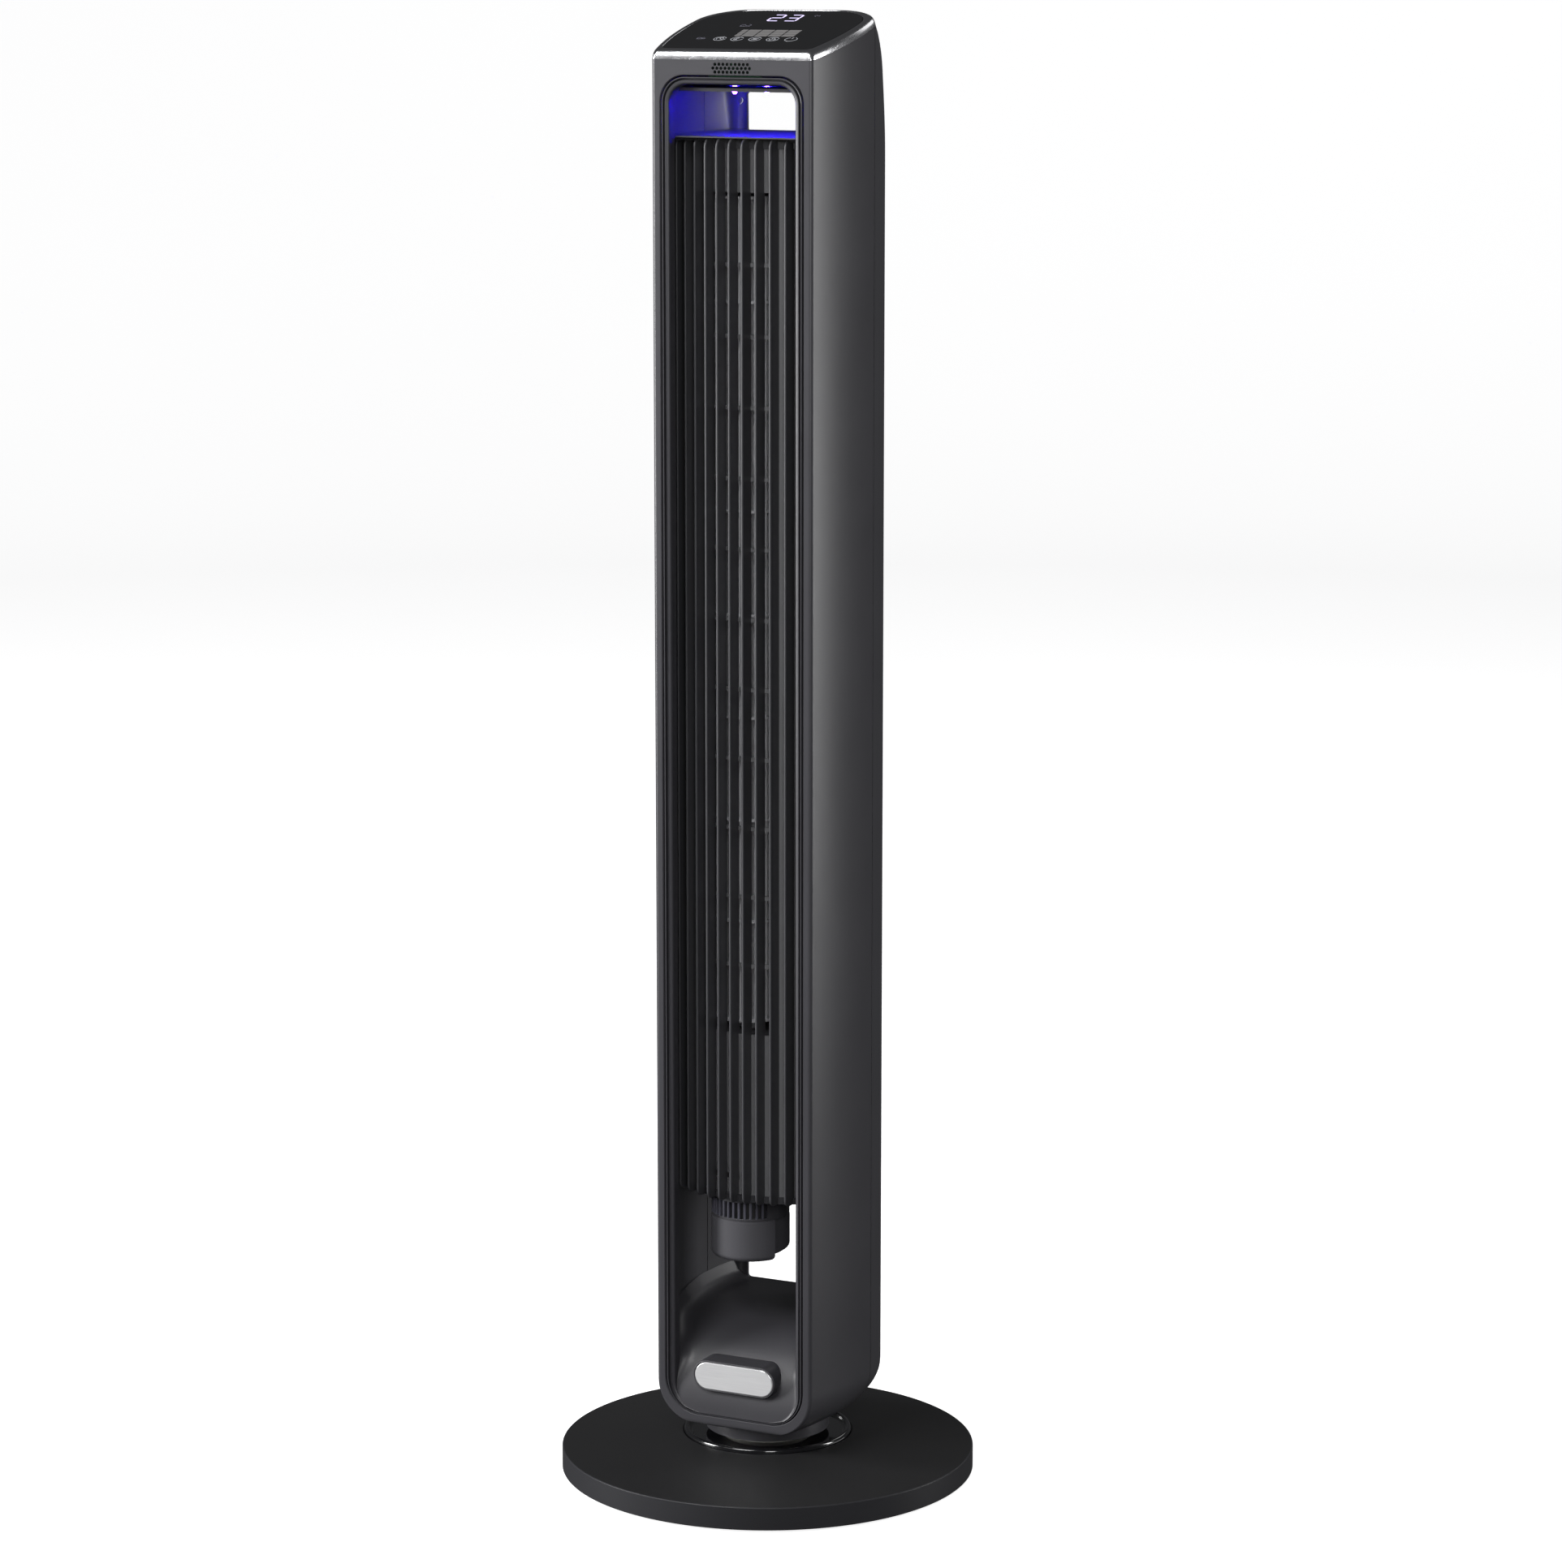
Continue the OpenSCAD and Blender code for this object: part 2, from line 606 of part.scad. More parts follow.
function wall_y(x, r) = column_cy - sqrt(r * r - x * x);
function wall_arc(r, x0, x1, n) = [for (i = [0:n]) let (x = x0 + (x1 - x0) * i / n) [x, wall_y(x, r)]];
function column_pts(t) = concat(
    wall_arc(column_r - t, -column_half_w + t, column_half_w - t, 16),
    [[column_half_w - t, column_rear], [-column_half_w + t, column_rear]]);

module air_column() color("#2e2e32") difference() {
    at_z(column_z0) linear_extrude(wall_z1 - column_z0) polygon(column_pts(0));
    at_z(column_z0 - 1) linear_extrude(wall_z1 - column_z0 + 2) polygon(concat(
        wall_arc(column_r - column_wall, -column_half_w + column_wall, column_half_w - column_wall, 16),
        [[column_half_w - column_wall, column_rear + 1], [-column_half_w + column_wall, column_rear + 1]]));
    translate([outlet_left, -far / 2, outlet_z0])
        cube([outlet_right - outlet_left, far / 2 - 5, outlet_z1 - outlet_z0]);
    for (i = [0:2]) translate([-23 + 9 * i - 1.3, -far / 2, column_z0 + 15])
        cube([2.6, far / 2 - 5, 4.6]);
}

// Side view of a fin: its free edge has rounded ends
module fin(x) {
    y0 = wall_y(x, fin_front_r);
    y1 = wall_y(abs(x) + fin_t, column_r) + 1;
    r = 5;
    translate([x, 0, 0]) along_x(fin_t) polygon(concat(
        arc_pts(y0 + r, column_z0 + r, r, 270, 180, 4),
        arc_pts(y0 + r, wall_z1 - r, r, 180, 90, 4),
        [[y1, wall_z1], [y1, column_z0]]));
}

module front_fins() color("#4a4a50") difference() {
    union() {
        for (i = [0:fin_count - 1]) fin((i - (fin_count - 1) / 2) * fin_pitch);
        for (z = [column_z0, wall_z1 - 5]) at_z(z) linear_extrude(5) polygon(concat(
            wall_arc(column_r + 1.6, -column_half_w + 1, column_half_w - 1, 16),
            [[column_half_w - 1, 0], [-column_half_w + 1, 0]]));
    }
    at_z(column_z0 - 1) linear_extrude(wall_z1 - column_z0 + 2) polygon(column_pts(0));
}

module outlet_guard() color("#4a4a50") {
    x0 = outlet_left + fit;
    x1 = outlet_right - fit;
    band = concat(wall_arc(column_r - 0.2, x0, x1, 10),
                  [for (i = [10:-1:0]) let (x = x0 + (x1 - x0) * i / 10) [x, wall_y(x, column_r - 2)]]);
    pitch = (outlet_z1 - outlet_z0) / (bar_count + 1);
    intersection() {
        at_z(outlet_z0 + fit) linear_extrude(outlet_z1 - outlet_z0 - 2 * fit) polygon(band);
        union() {
            for (i = [1:bar_count]) translate([x0 - 1, -far / 2, outlet_z0 + i * pitch - 1.5])
                cube([x1 - x0 + 2, far / 2, 3]);
            for (x = [x0, x1 - 2.4]) translate([x, -far / 2, outlet_z0]) cube([2.4, far / 2, tall]);
        }
    }
}

module column_top_plate() color("#34343a") intersection() {
    plan_prism(shell_wall + fit, wall_z1, column_z1);
    translate([-far / 2, -front_depth + lip_depth + fit, 0])
        cube([far, rear_depth - 4 + front_depth - lip_depth, tall]);
}

// Fills the inside of the column, clear of its walls by fit
module column_slab(z0, z1) {
    inset = column_wall + fit;
    at_z(z0) linear_extrude(z1 - z0) polygon(concat(
        wall_arc(column_r - inset, -column_half_w + inset, column_half_w - inset, 16),
        [[column_half_w - inset, column_rear], [-column_half_w + inset, column_rear]]));
}

module at_impeller() translate([imp_x, imp_y, 0]) children();

module column_floor() color("#2e2e32") difference() {
    column_slab(column_z0, column_z0 + 2.4);
    at_impeller() at_z(column_z0 - 1) cylinder(r = stator_r + 0.8, h = 5);
}

// Scroll around the impeller: its gap widens from the back round to the outlet
scroll_z0 = outlet_z0 - 2;
scroll_z1 = outlet_z1 + 2;
scroll_end_r = norm([outlet_right - imp_x, wall_y(outlet_right, column_r - column_wall) - imp_y]);
scroll_end_a = atan2(wall_y(outlet_right, column_r - column_wall) - imp_y, outlet_right - imp_x);
scroll_start_a = 100;
scroll_gap = 3;
function scroll_pts(dr, n = 12) = [for (i = [0:n])
    let (a = scroll_start_a + (scroll_end_a - scroll_start_a) * i / n,
         r = imp_r + scroll_gap + (scroll_end_r - 1 - imp_r - scroll_gap) * i / n + dr)
    [imp_x + r * cos(a), imp_y + r * sin(a)]];
function flipped(pts) = [for (i = [len(pts) - 1:-1:0]) pts[i]];
tongue_a = 212;
tongue_r = 2;

module scroll_casing() color("#26262a") {
    intersection() {
        at_z(scroll_z0 + 2) linear_extrude(scroll_z1 - scroll_z0 - 4)
            polygon(concat(scroll_pts(0), flipped(scroll_pts(1.8))));
        column_slab(scroll_z0, scroll_z1);
    }
    at_impeller() rotate(tongue_a) translate([imp_r + scroll_gap + tongue_r, 0, scroll_z0 + 2])
        cylinder(r = tongue_r, h = scroll_z1 - scroll_z0 - 4, $fn = 24);
    for (z = [scroll_z0, scroll_z1 - 2]) difference() {
        column_slab(z, z + 2);
        at_impeller() at_z(z - 1) cylinder(r = 11.2, h = 4);
    }
}

module bearing_holder() color("#1a1a1a") at_impeller() {
    ring(6.05, 11, scroll_z1 - 2, scroll_z1 + 7);
    ring(11 - eps, 14, scroll_z1, scroll_z1 + 2);
}

module top_bushing() color("#b58b4c") at_impeller()
    ring(shaft_r + run, 6, scroll_z1, scroll_z1 + 7);

module impeller_pin() color("#c9ccd0") at_impeller()
    at_z(imp_z1 - 5) cylinder(r = shaft_r, h = scroll_z1 + 6 - imp_z1 + 5, $fn = 32);

// One curved blade, swept forward
blade_in = imp_r - 6.2;
module blade_shape() polygon(concat(
    [for (i = [0:3]) let (r = blade_in + (imp_r - 0.3 - blade_in) * i / 3, a = 9 * sin(i * 30)) [r * cos(a), r * sin(a)]],
    [for (i = [3:-1:0]) let (r = blade_in + (imp_r - 0.3 - blade_in) * i / 3, a = 9 * sin(i * 30) + 2.4) [r * cos(a), r * sin(a)]]));

module impeller() color("#9fa3a8") at_impeller() {
    section = (imp_z1 - imp_z0) / section_count;
    at_z(imp_z0) linear_extrude(imp_z1 - imp_z0)
        for (i = [0:blade_count - 1]) rotate(i * 360 / blade_count) blade_shape();
    for (i = [1:section_count - 1]) ring(blade_in - 1.5, imp_r, imp_z0 + i * section - 0.8,
                                         imp_z0 + i * section + 0.8);
    ring(shaft_r + 0.02, imp_r, imp_z0, imp_z0 + 2);
    ring(shaft_r + 0.02, imp_r, imp_z1 - 2, imp_z1);
    ring(shaft_r + 0.02, 8, imp_z0 - 8, imp_z0 + 0.5);
    ring(shaft_r + 0.02, 6, imp_z1 - 8, imp_z1 - 1.5);
}

// ---- Blower motor ---------------------------------------------------------------

stack_h = 30;
stack_z0 = motor_z - stack_h / 2;
stack_z1 = motor_z + stack_h / 2;
rotor_r = 11.8;
bell_wall = 1.8;
bearing_r = 6.5;
coil_h = 8.5;
lower_bell_z = stack_z0 - coil_h - 11.5;
upper_bell_z = stack_z1 + coil_h + 7.5;
mount_z = upper_bell_z;

module motor_stator() color("#7c7f83") at_impeller() difference() {
    ring(rotor_r + 0.5, stator_r, stack_z0, stack_z1);
    about(8, rotor_r + 6) at_z(stack_z0 - 1) cylinder(r = 2.1, h = stack_h + 2, $fn = 24);
}

module motor_coils() color("#b5652c") at_impeller() {
    ring(rotor_r + 1.7, stator_r - 2.5, stack_z0 - coil_h, stack_z0);
    ring(rotor_r + 1.7, stator_r - 2.5, stack_z1, stack_z1 + coil_h);
}

module motor_lower_bell() color("#a9acb0") at_impeller() rotate_extrude() polygon([
    [bearing_r + 0.05, lower_bell_z], [stator_r, lower_bell_z], [stator_r, stack_z0],
    [stator_r - bell_wall, stack_z0], [stator_r - bell_wall, lower_bell_z + bell_wall],
    [bearing_r + 2, lower_bell_z + bell_wall], [bearing_r + 2, lower_bell_z + 7],
    [bearing_r + 0.05, lower_bell_z + 7]]);

module motor_upper_bell() color("#a9acb0") at_impeller() rotate_extrude() polygon([
    [bearing_r + 0.05, upper_bell_z], [stator_r, upper_bell_z], [stator_r, stack_z1],
    [stator_r - bell_wall, stack_z1], [stator_r - bell_wall, upper_bell_z - bell_wall],
    [bearing_r + 2, upper_bell_z - bell_wall], [bearing_r + 2, upper_bell_z - 7],
    [bearing_r + 0.05, upper_bell_z - 7]]);

module motor_bearings() color("#d4d6d8") at_impeller() {
    ring(shaft_r + run, bearing_r, lower_bell_z + 1, lower_bell_z + 7);
    ring(shaft_r + run, bearing_r, upper_bell_z - 7, upper_bell_z - 1);
}

module motor_shaft() color("#c9ccd0") at_impeller()
    at_z(lower_bell_z - 2) cylinder(r = shaft_r, h = imp_z0 + 1 - lower_bell_z + 2, $fn = 32);

module motor_rotor() color("#8b8e92") at_impeller()
    ring(shaft_r + 0.02, rotor_r, stack_z0, stack_z1);

module motor_mount() color("#3b3b3f") difference() {
    column_slab(mount_z, mount_z + 2.5);
    at_impeller() {
        at_z(mount_z - 1) cylinder(r = shaft_r + 3, h = 5);
        about(3, stator_r - 5, 90) at_z(mount_z - 1)
            cylinder(r = screw_r + screw_clear, h = 5, $fn = 24);
    }
}

module motor_screws() color("#8d8f92") at_impeller() about(3, stator_r - 5, 90) {
    at_z(mount_z + 2.5) cylinder(r = head_r, h = head_h, $fn = 24);
    at_z(mount_z + eps) cylinder(r = screw_r, h = 2.5, $fn = 24);
}

// The cover has a round front with a low lip, and a flat on its right
cup_z0 = column_z0 - vent_h - cup_h;
cup_wall = 2.2;
cup_edge_r = 4;
cup_flat_x = 24.9;
lip_y = -12;
lip_h = 4;

module cup_form(t, z0) rotate_extrude($fn = 72) polygon(concat(
    [[0, z0 + t]],
    arc_pts(cup_r - cup_edge_r, z0 + cup_edge_r, cup_edge_r - t, -90, 0, 4),
    [[cup_r - t, column_z0 - vent_h], [0, column_z0 - vent_h]]));

module motor_cover() color("#55555c") at_impeller() difference() {
    union() {
        intersection() {
            cup_form(0, cup_z0);
            translate([-far / 2, -far + lip_y, 0]) cube([far, far, far]);
        }
        intersection() {
            cup_form(0, cup_z0 + lip_h);
            translate([cup_flat_x - far, -far / 2, 0]) cube([far, far, far]);
        }
    }
    intersection() {
        at_z(1) cup_form(cup_wall, cup_z0 + lip_h);
        translate([cup_flat_x - cup_wall - far, -far / 2, 0]) cube([far, far, far]);
    }
    at_z(column_z0 - vent_h - 1) intersection() {
        cylinder(r = cup_r - cup_wall, h = 3);
        translate([cup_flat_x - cup_wall - far, -far / 2, 0]) cube([far, far, far]);
    }
}

module motor_vent_ring() color("#5d5d66") at_impeller() difference() {
    ring(cup_r - cup_wall, cup_r - 0.3, column_z0 - vent_h, column_z0);
    about(vent_count, cup_r) translate([-6, -1.4, column_z0 - vent_h + 2.5])
        cube([12, 2.8, vent_h - 4]);
}

// ---- Top: controls, lights and sensor ---------------------------------------------

led_x = [-25, 0, 25];
led_r = 3.4;
board_t = 1.6;

module ceiling_panel() color("#232327") difference() {
    intersection() {
        plan_prism(shell_wall + fit, ceiling_z, ceiling_z + 2.4);
        tower_form(shell_wall + fit);
        translate([-far / 2, -front_depth + lip_depth + fit, 0]) cube([far, far, tall]);
    }
    for (x = led_x) translate([x, 0, ceiling_z - 1]) cylinder(r = led_r + 0.05, h = 5, $fn = 32);
}

module led_lenses() color("#b9ccff") for (x = led_x) translate([x, 0, 0]) {
    at_z(ceiling_z - 2.2) cylinder(r = led_r, h = 4.6, $fn = 32);
    at_z(ceiling_z + 2.4) cylinder(r = led_r + 1, h = 1, $fn = 32);
}

module led_board() color("#1f5a34") {
    translate([-34, -7, ceiling_z + 5]) cube([68, 14, board_t]);
    for (x = led_x) translate([x, 0, ceiling_z + 3.4]) cylinder(r = 2, h = 1.6 + eps, $fn = 24);
}

module sensor_board() color("#1f5a34") {
    translate([-20, -front_depth + shell_wall + 3, shell_top_z - 13]) cube([40, board_t, 14]);
    translate([-4, -front_depth + shell_wall + 0.6, shell_top_z - 9]) cube([8, 2.4 + eps, 7]);
}

// A slab that follows the sloping top, between two depths below the glass face,
// moved in by t from the shell's outline
glass_set = 5.2;
module top_slab(t, top, bottom) intersection() {
    plan_prism(t, shell_top_z - 40, shell_top_z + 60);
    along_x(far) polygon([[-front_depth + t, shell_top_z - 60], [rear_depth - 17 - t, shell_top_z - 60],
                          [rear_depth - 17 - t, shell_top_z + 60], [-front_depth + t, shell_top_z + 60]]);
    below_top(trim_h - top);
    above_top(trim_h - bottom);
}

module trim_ring() color("#d9dbde") difference() {
    union() {
        top_slab(0, 4.4, trim_h);
        top_slab(1.6, 1.8, 4.4 + eps);
        top_slab(3.6, 0, 1.8 + eps);
    }
    top_slab(glass_set - fit, -2, 2.4);
    top_slab(glass_set + 2, 2.3, trim_h + 2);
}

module glass_panel() color("#0b0b0d") top_slab(glass_set, 0, 2.2);

module control_board() color("#1f5a34") top_slab(glass_set + 6, 6.2, 6.2 + board_t);

module under_glass(x, y, depth, h) translate([x, y, top_z(y) + trim_h]) rotate([top_tilt, 0, 0])
    at_z(-depth - h) children();

key_y = -42;
module touch_springs() color("#c9ccd0") for (i = [-2:2])
    under_glass(i * 15, key_y, 2.4, 3.3) difference() {
        cylinder(r = 4, h = 3.3, $fn = 32);
        at_z(-1) cylinder(r = 3.2, h = 6, $fn = 32);
    }

module display_module() color("#17171a") under_glass(0, 26, 2.4, 3.3)
    translate([-17, -10, 0]) cube([34, 20, 3.3]);

module buzzer() color("#111113") under_glass(40, 10, 6.4 + board_t, 6) cylinder(r = 6, h = 6, $fn = 32);

module power_board() color("#1f5a34") {
    x = mid_half_w - 22;
    translate([x, -22, tower_z + 10]) cube([board_t, 60, 34]);
    translate([x - 14, -12, tower_z + 14]) cube([14 + eps, 20, 18]);
    translate([x, 22, tower_z + 24]) rotate([0, -90, 0]) cylinder(r = 6, h = 12);
}

// ---- Assembly -------------------------------------------------------------------

base_cover();
base_plate();
base_weight();
base_feet();
base_screws();
collar_ring();
glide_ring();
pivot_post();
post_screws();
swing_gear();
thrust_washer();
post_nut();
foot_disc();
foot_bushing();
foot_screws();
front_housing();
rear_cover();
rear_screws();
intake_grille();
filter_mesh();
opening_frame();
lower_ramp();
nameplate();
air_column();
front_fins();
outlet_guard();
column_top_plate();
column_floor();
scroll_casing();
bearing_holder();
top_bushing();
motor_cover();
motor_vent_ring();
motor_mount();
motor_stator();
motor_coils();
motor_lower_bell();
motor_upper_bell();
motor_bearings();
motor_screws();
ceiling_panel();
led_lenses();
led_board();
sensor_board();
trim_ring();
glass_panel();
control_board();
display_module();
touch_springs();
buzzer();
power_board();
swing_motor();
swing_motor_screws();
cord_inlet();
impeller();
impeller_pin();
motor_shaft();
motor_rotor();
swing_pinion();
pinion_shaft();
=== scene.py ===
import json
import math

import bmesh
import bpy
import numpy as np
from mathutils import Matrix, Vector

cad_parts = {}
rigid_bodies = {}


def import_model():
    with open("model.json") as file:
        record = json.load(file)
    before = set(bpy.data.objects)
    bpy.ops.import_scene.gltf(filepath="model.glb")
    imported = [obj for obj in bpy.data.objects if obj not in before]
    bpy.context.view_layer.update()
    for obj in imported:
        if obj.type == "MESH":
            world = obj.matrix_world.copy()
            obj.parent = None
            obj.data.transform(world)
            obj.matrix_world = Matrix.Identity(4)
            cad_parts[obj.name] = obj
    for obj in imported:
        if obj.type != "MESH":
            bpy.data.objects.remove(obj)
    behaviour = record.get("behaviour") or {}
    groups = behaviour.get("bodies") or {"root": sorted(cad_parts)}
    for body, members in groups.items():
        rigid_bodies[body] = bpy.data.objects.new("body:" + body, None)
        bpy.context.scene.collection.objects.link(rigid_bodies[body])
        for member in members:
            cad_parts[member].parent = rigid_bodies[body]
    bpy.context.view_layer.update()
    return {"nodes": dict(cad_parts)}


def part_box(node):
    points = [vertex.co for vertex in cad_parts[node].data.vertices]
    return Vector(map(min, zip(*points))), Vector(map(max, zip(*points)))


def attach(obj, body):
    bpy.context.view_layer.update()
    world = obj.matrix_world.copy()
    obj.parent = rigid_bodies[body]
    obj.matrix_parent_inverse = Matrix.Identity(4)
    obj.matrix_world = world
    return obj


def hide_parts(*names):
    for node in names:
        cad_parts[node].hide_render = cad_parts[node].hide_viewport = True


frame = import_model()

MM = 0.001


def span(node):
    """Lowest and highest corner of a CAD node, in millimetres."""
    low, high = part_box(node)
    return [v / MM for v in low], [v / MM for v in high]


# ---- Camera ----------------------------------------------------------------------------------

camera = bpy.data.objects.new("camera", bpy.data.cameras.new("camera"))
bpy.context.scene.collection.objects.link(camera)
camera.location = (1.4675, -2.9645, 1.1058)
camera.rotation_euler = (math.radians(90 - 10.262), 0, math.radians(26.167))
camera.data.lens = 108.2
camera.data.sensor_width = 36
camera.data.clip_end = 100
bpy.context.scene.camera = camera

# ---- Sizes read from the frame, in millimetres -----------------------------------------------

(_, FRONT_Y, FOOT_Z), (HALF_W, SEAM_Y, _) = span("front_housing")
REAR_Y = span("rear_cover")[1][1]
TOP_Z = span("trim_ring")[0][2]
TILT = math.tan(math.radians(14))
TRIM_H = 6.15
FRONT_HALF_W = 61.3
BULGE_Y = 5.0
WALL = 2.6
SIDE_RISE = HALF_W - FRONT_HALF_W
SIDE_R = (SIDE_RISE ** 2 + (BULGE_Y - FRONT_Y) ** 2) / (2 * SIDE_RISE)
SIDE_CX = HALF_W - SIDE_R
SIDE_ROLL, REAR_ROLL, FRONT_ROLL = 30.0, 34.0, 3.0
LEAN_R, LEAN_Z = 45.0, TOP_Z - 9

(_, _, FRAME_Z0), (FRAME_HALF_W, _, FRAME_Z1) = span("opening_frame")
COLUMN_Z0, WALL_Z1 = span("air_column")[0][2], span("air_column")[1][2]
COLUMN_Z1 = span("column_top_plate")[1][2]
COLUMN_HALF_W = span("air_column")[1][0]
COLUMN_FRONT, COLUMN_REAR = span("air_column")[0][1], span("air_column")[1][1]
COLUMN_R = 80.0
COLUMN_CY = COLUMN_FRONT + COLUMN_R
CEILING_Z = span("ceiling_panel")[0][2]
SILL_Z = span("lower_ramp")[1][2]
(OUTLET_X0, _, OUTLET_Z0), (OUTLET_X1, _, OUTLET_Z1) = span("outlet_guard")
(_, _, COVER_Z0), (_, _, COVER_Z1) = span("motor_cover")
BLOWER_X, BLOWER_Y = -9.0, -9.5
VENT_Z0, VENT_Z1 = span("motor_vent_ring")[0][2], span("motor_vent_ring")[1][2]
VENT_R = (span("motor_vent_ring")[1][0] - span("motor_vent_ring")[0][0]) / 2

# ---- Mesh work -------------------------------------------------------------------------------

scene_objects = bpy.context.scene.collection.objects


def make(name, points, faces, finish=None, smooth=True):
    """A piece from points in millimetres, with its faces turned outwards."""
    mesh = bpy.data.meshes.new(name)
    mesh.from_pydata([(x * MM, y * MM, z * MM) for x, y, z in points], [], faces)
    bm = bmesh.new()
    bm.from_mesh(mesh)
    bmesh.ops.remove_doubles(bm, verts=bm.verts, dist=1e-7)
    bmesh.ops.recalc_face_normals(bm, faces=bm.faces)
    for face in bm.faces:
        face.smooth = smooth
    bm.to_mesh(mesh)
    bm.free()
    piece = bpy.data.objects.new(name, mesh)
    scene_objects.link(piece)
    if finish:
        mesh.materials.append(finish)
    return piece


def settle(piece):
    """Turns a piece and its modifiers into a plain mesh."""
    bpy.context.view_layer.update()
    ready = piece.evaluated_get(bpy.context.evaluated_depsgraph_get())
    mesh = bpy.data.meshes.new_from_object(ready)
    mesh.name = piece.name
    piece.modifiers.clear()
    piece.data = mesh
    return piece


def carve(piece, *cutters):
    """Cuts each cutter out of a piece."""
    for cutter in cutters:
        cut = piece.modifiers.new("cut", "BOOLEAN")
        cut.operation = "DIFFERENCE"
        cut.solver = "MANIFOLD"
        cut.object = cutter
        settle(piece)
        bpy.data.objects.remove(cutter)
    return piece


def crisp(piece, angle):
    """Shades smooth between the edges that are sharper than an angle."""
    bm = bmesh.new()
    bm.from_mesh(piece.data)
    bmesh.ops.remove_doubles(bm, verts=bm.verts, dist=1e-7)
    bmesh.ops.dissolve_degenerate(bm, edges=bm.edges, dist=1e-7)
    for face in bm.faces:
        face.smooth = True
    for edge in bm.edges:
        edge.smooth = len(edge.link_faces) == 2 and edge.calc_face_angle(0) < math.radians(angle)
    bm.to_mesh(piece.data)
    bm.free()
    weigh = piece.modifiers.new("weigh", "WEIGHTED_NORMAL")
    weigh.keep_sharp = True
    return settle(piece)


def skin(rings, closed=True, loop=False):
    """Points and faces of a skin through rings of points; closed caps its two ends, loop joins them."""
    n = len(rings[0])
    points = [p for ring in rings for p in ring]
    faces = []
    for k in range(len(rings) - (0 if loop else 1)):
        a, b = k * n, (k + 1) % len(rings) * n
        faces += [(a + i, a + (i + 1) % n, b + (i + 1) % n, b + i) for i in range(n)]
    if closed and not loop:
        faces += [tuple(range(n)), tuple(range(len(points) - n, len(points)))]
    return points, faces


def turned(profile, steps=128, centre=(0, 0)):
    """Points and faces of a closed profile of (radius, height) turned round an upright axis."""
    rings = []
    for i in range(steps):
        c, s = math.cos(2 * math.pi * i / steps), math.sin(2 * math.pi * i / steps)
        rings.append([(centre[0] + r * c, centre[1] + r * s, z) for r, z in profile])
    return skin(rings, loop=True)


def block(name, low, high):
    (x0, y0, z0), (x1, y1, z1) = low, high
    ring = [(x0, y0), (x1, y0), (x1, y1), (x0, y1)]
    return make(name, *skin([[(x, y, z) for x, y in ring] for z in (z0, z1)]), smooth=False)


def arc(cx, cy, r, a0, a1, n):
    steps = [math.radians(a0 + (a1 - a0) * i / n) for i in range(n + 1)]
    return [(cx + r * math.cos(a), cy + r * math.sin(a)) for a in steps]


def round_rect(hw, z0, z1, r_low, r_top, n=8):
    return (arc(hw - r_low, z0 + r_low, r_low, -90, 0, n) + arc(hw - r_top, z1 - r_top, r_top, 0, 90, n)
            + arc(r_top - hw, z1 - r_top, r_top, 90, 180, n)
            + arc(r_low - hw, z0 + r_low, r_low, 180, 270, n))


def along_y(name, *sections, finish=None):
    """A solid through (y, outline) sections, each outline in X and Z."""
    return make(name, *skin([[(x, y, z) for x, z in outline] for y, outline in sections]), finish=finish)


def upright(name, *sections, finish=None):
    """A solid through (z, outline) sections, each outline in X and Y."""
    return make(name, *skin([[(x, y, z) for x, y in outline] for z, outline in sections]), finish=finish)


def joined(name, *pieces):
    """One piece from several that share an order of finishes."""
    bm = bmesh.new()
    finishes = []
    for piece in pieces:
        start = len(bm.faces)
        bm.from_mesh(piece.data)
        bm.faces.ensure_lookup_table()
        slots = list(piece.data.materials)
        for m in slots:
            if m not in finishes:
                finishes.append(m)
        for face in bm.faces[start:]:
            if slots:
                face.material_index = finishes.index(slots[min(face.material_index, len(slots) - 1)])
    mesh = bpy.data.meshes.new(name)
    bm.to_mesh(mesh)
    bm.free()
    for m in finishes:
        mesh.materials.append(m)
    for piece in pieces:
        bpy.data.objects.remove(piece)
    whole = bpy.data.objects.new(name, mesh)
    scene_objects.link(whole)
    return whole


def move(piece, x=0.0, y=0.0, z=0.0):
    """Moves a piece's mesh by an offset in millimetres."""
    piece.data.transform(Matrix.Translation(Vector((x, y, z)) * MM))
    return piece


def fit(piece, body, slot, *nodes):
    """Puts a piece on its body, in place of the CAD nodes that it stands for."""
    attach(piece, body)
    if nodes:
        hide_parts(*nodes)
    return piece


# ---- Finishes --------------------------------------------------------------------------------


class Tone:
    """One value in a finish. Arithmetic on it adds the Math nodes."""

    def __init__(self, finish, socket):
        self.finish, self.socket = finish, socket

    def _maths(self, operation, a, b):
        return self.finish.node("ShaderNodeMath", {"operation": operation}, {0: a, 1: b})

    def __add__(self, other):
        return self._maths("ADD", self, other)

    def __sub__(self, other):
        return self._maths("SUBTRACT", self, other)

    def __rsub__(self, other):
        return self._maths("SUBTRACT", other, self)

    def __mul__(self, other):
        return self._maths("MULTIPLY", self, other)

    def __truediv__(self, other):
        return self._maths("DIVIDE", self, other)

    def __gt__(self, other):
        return self._maths("GREATER_THAN", self, other)

    __radd__, __rmul__ = __add__, __mul__


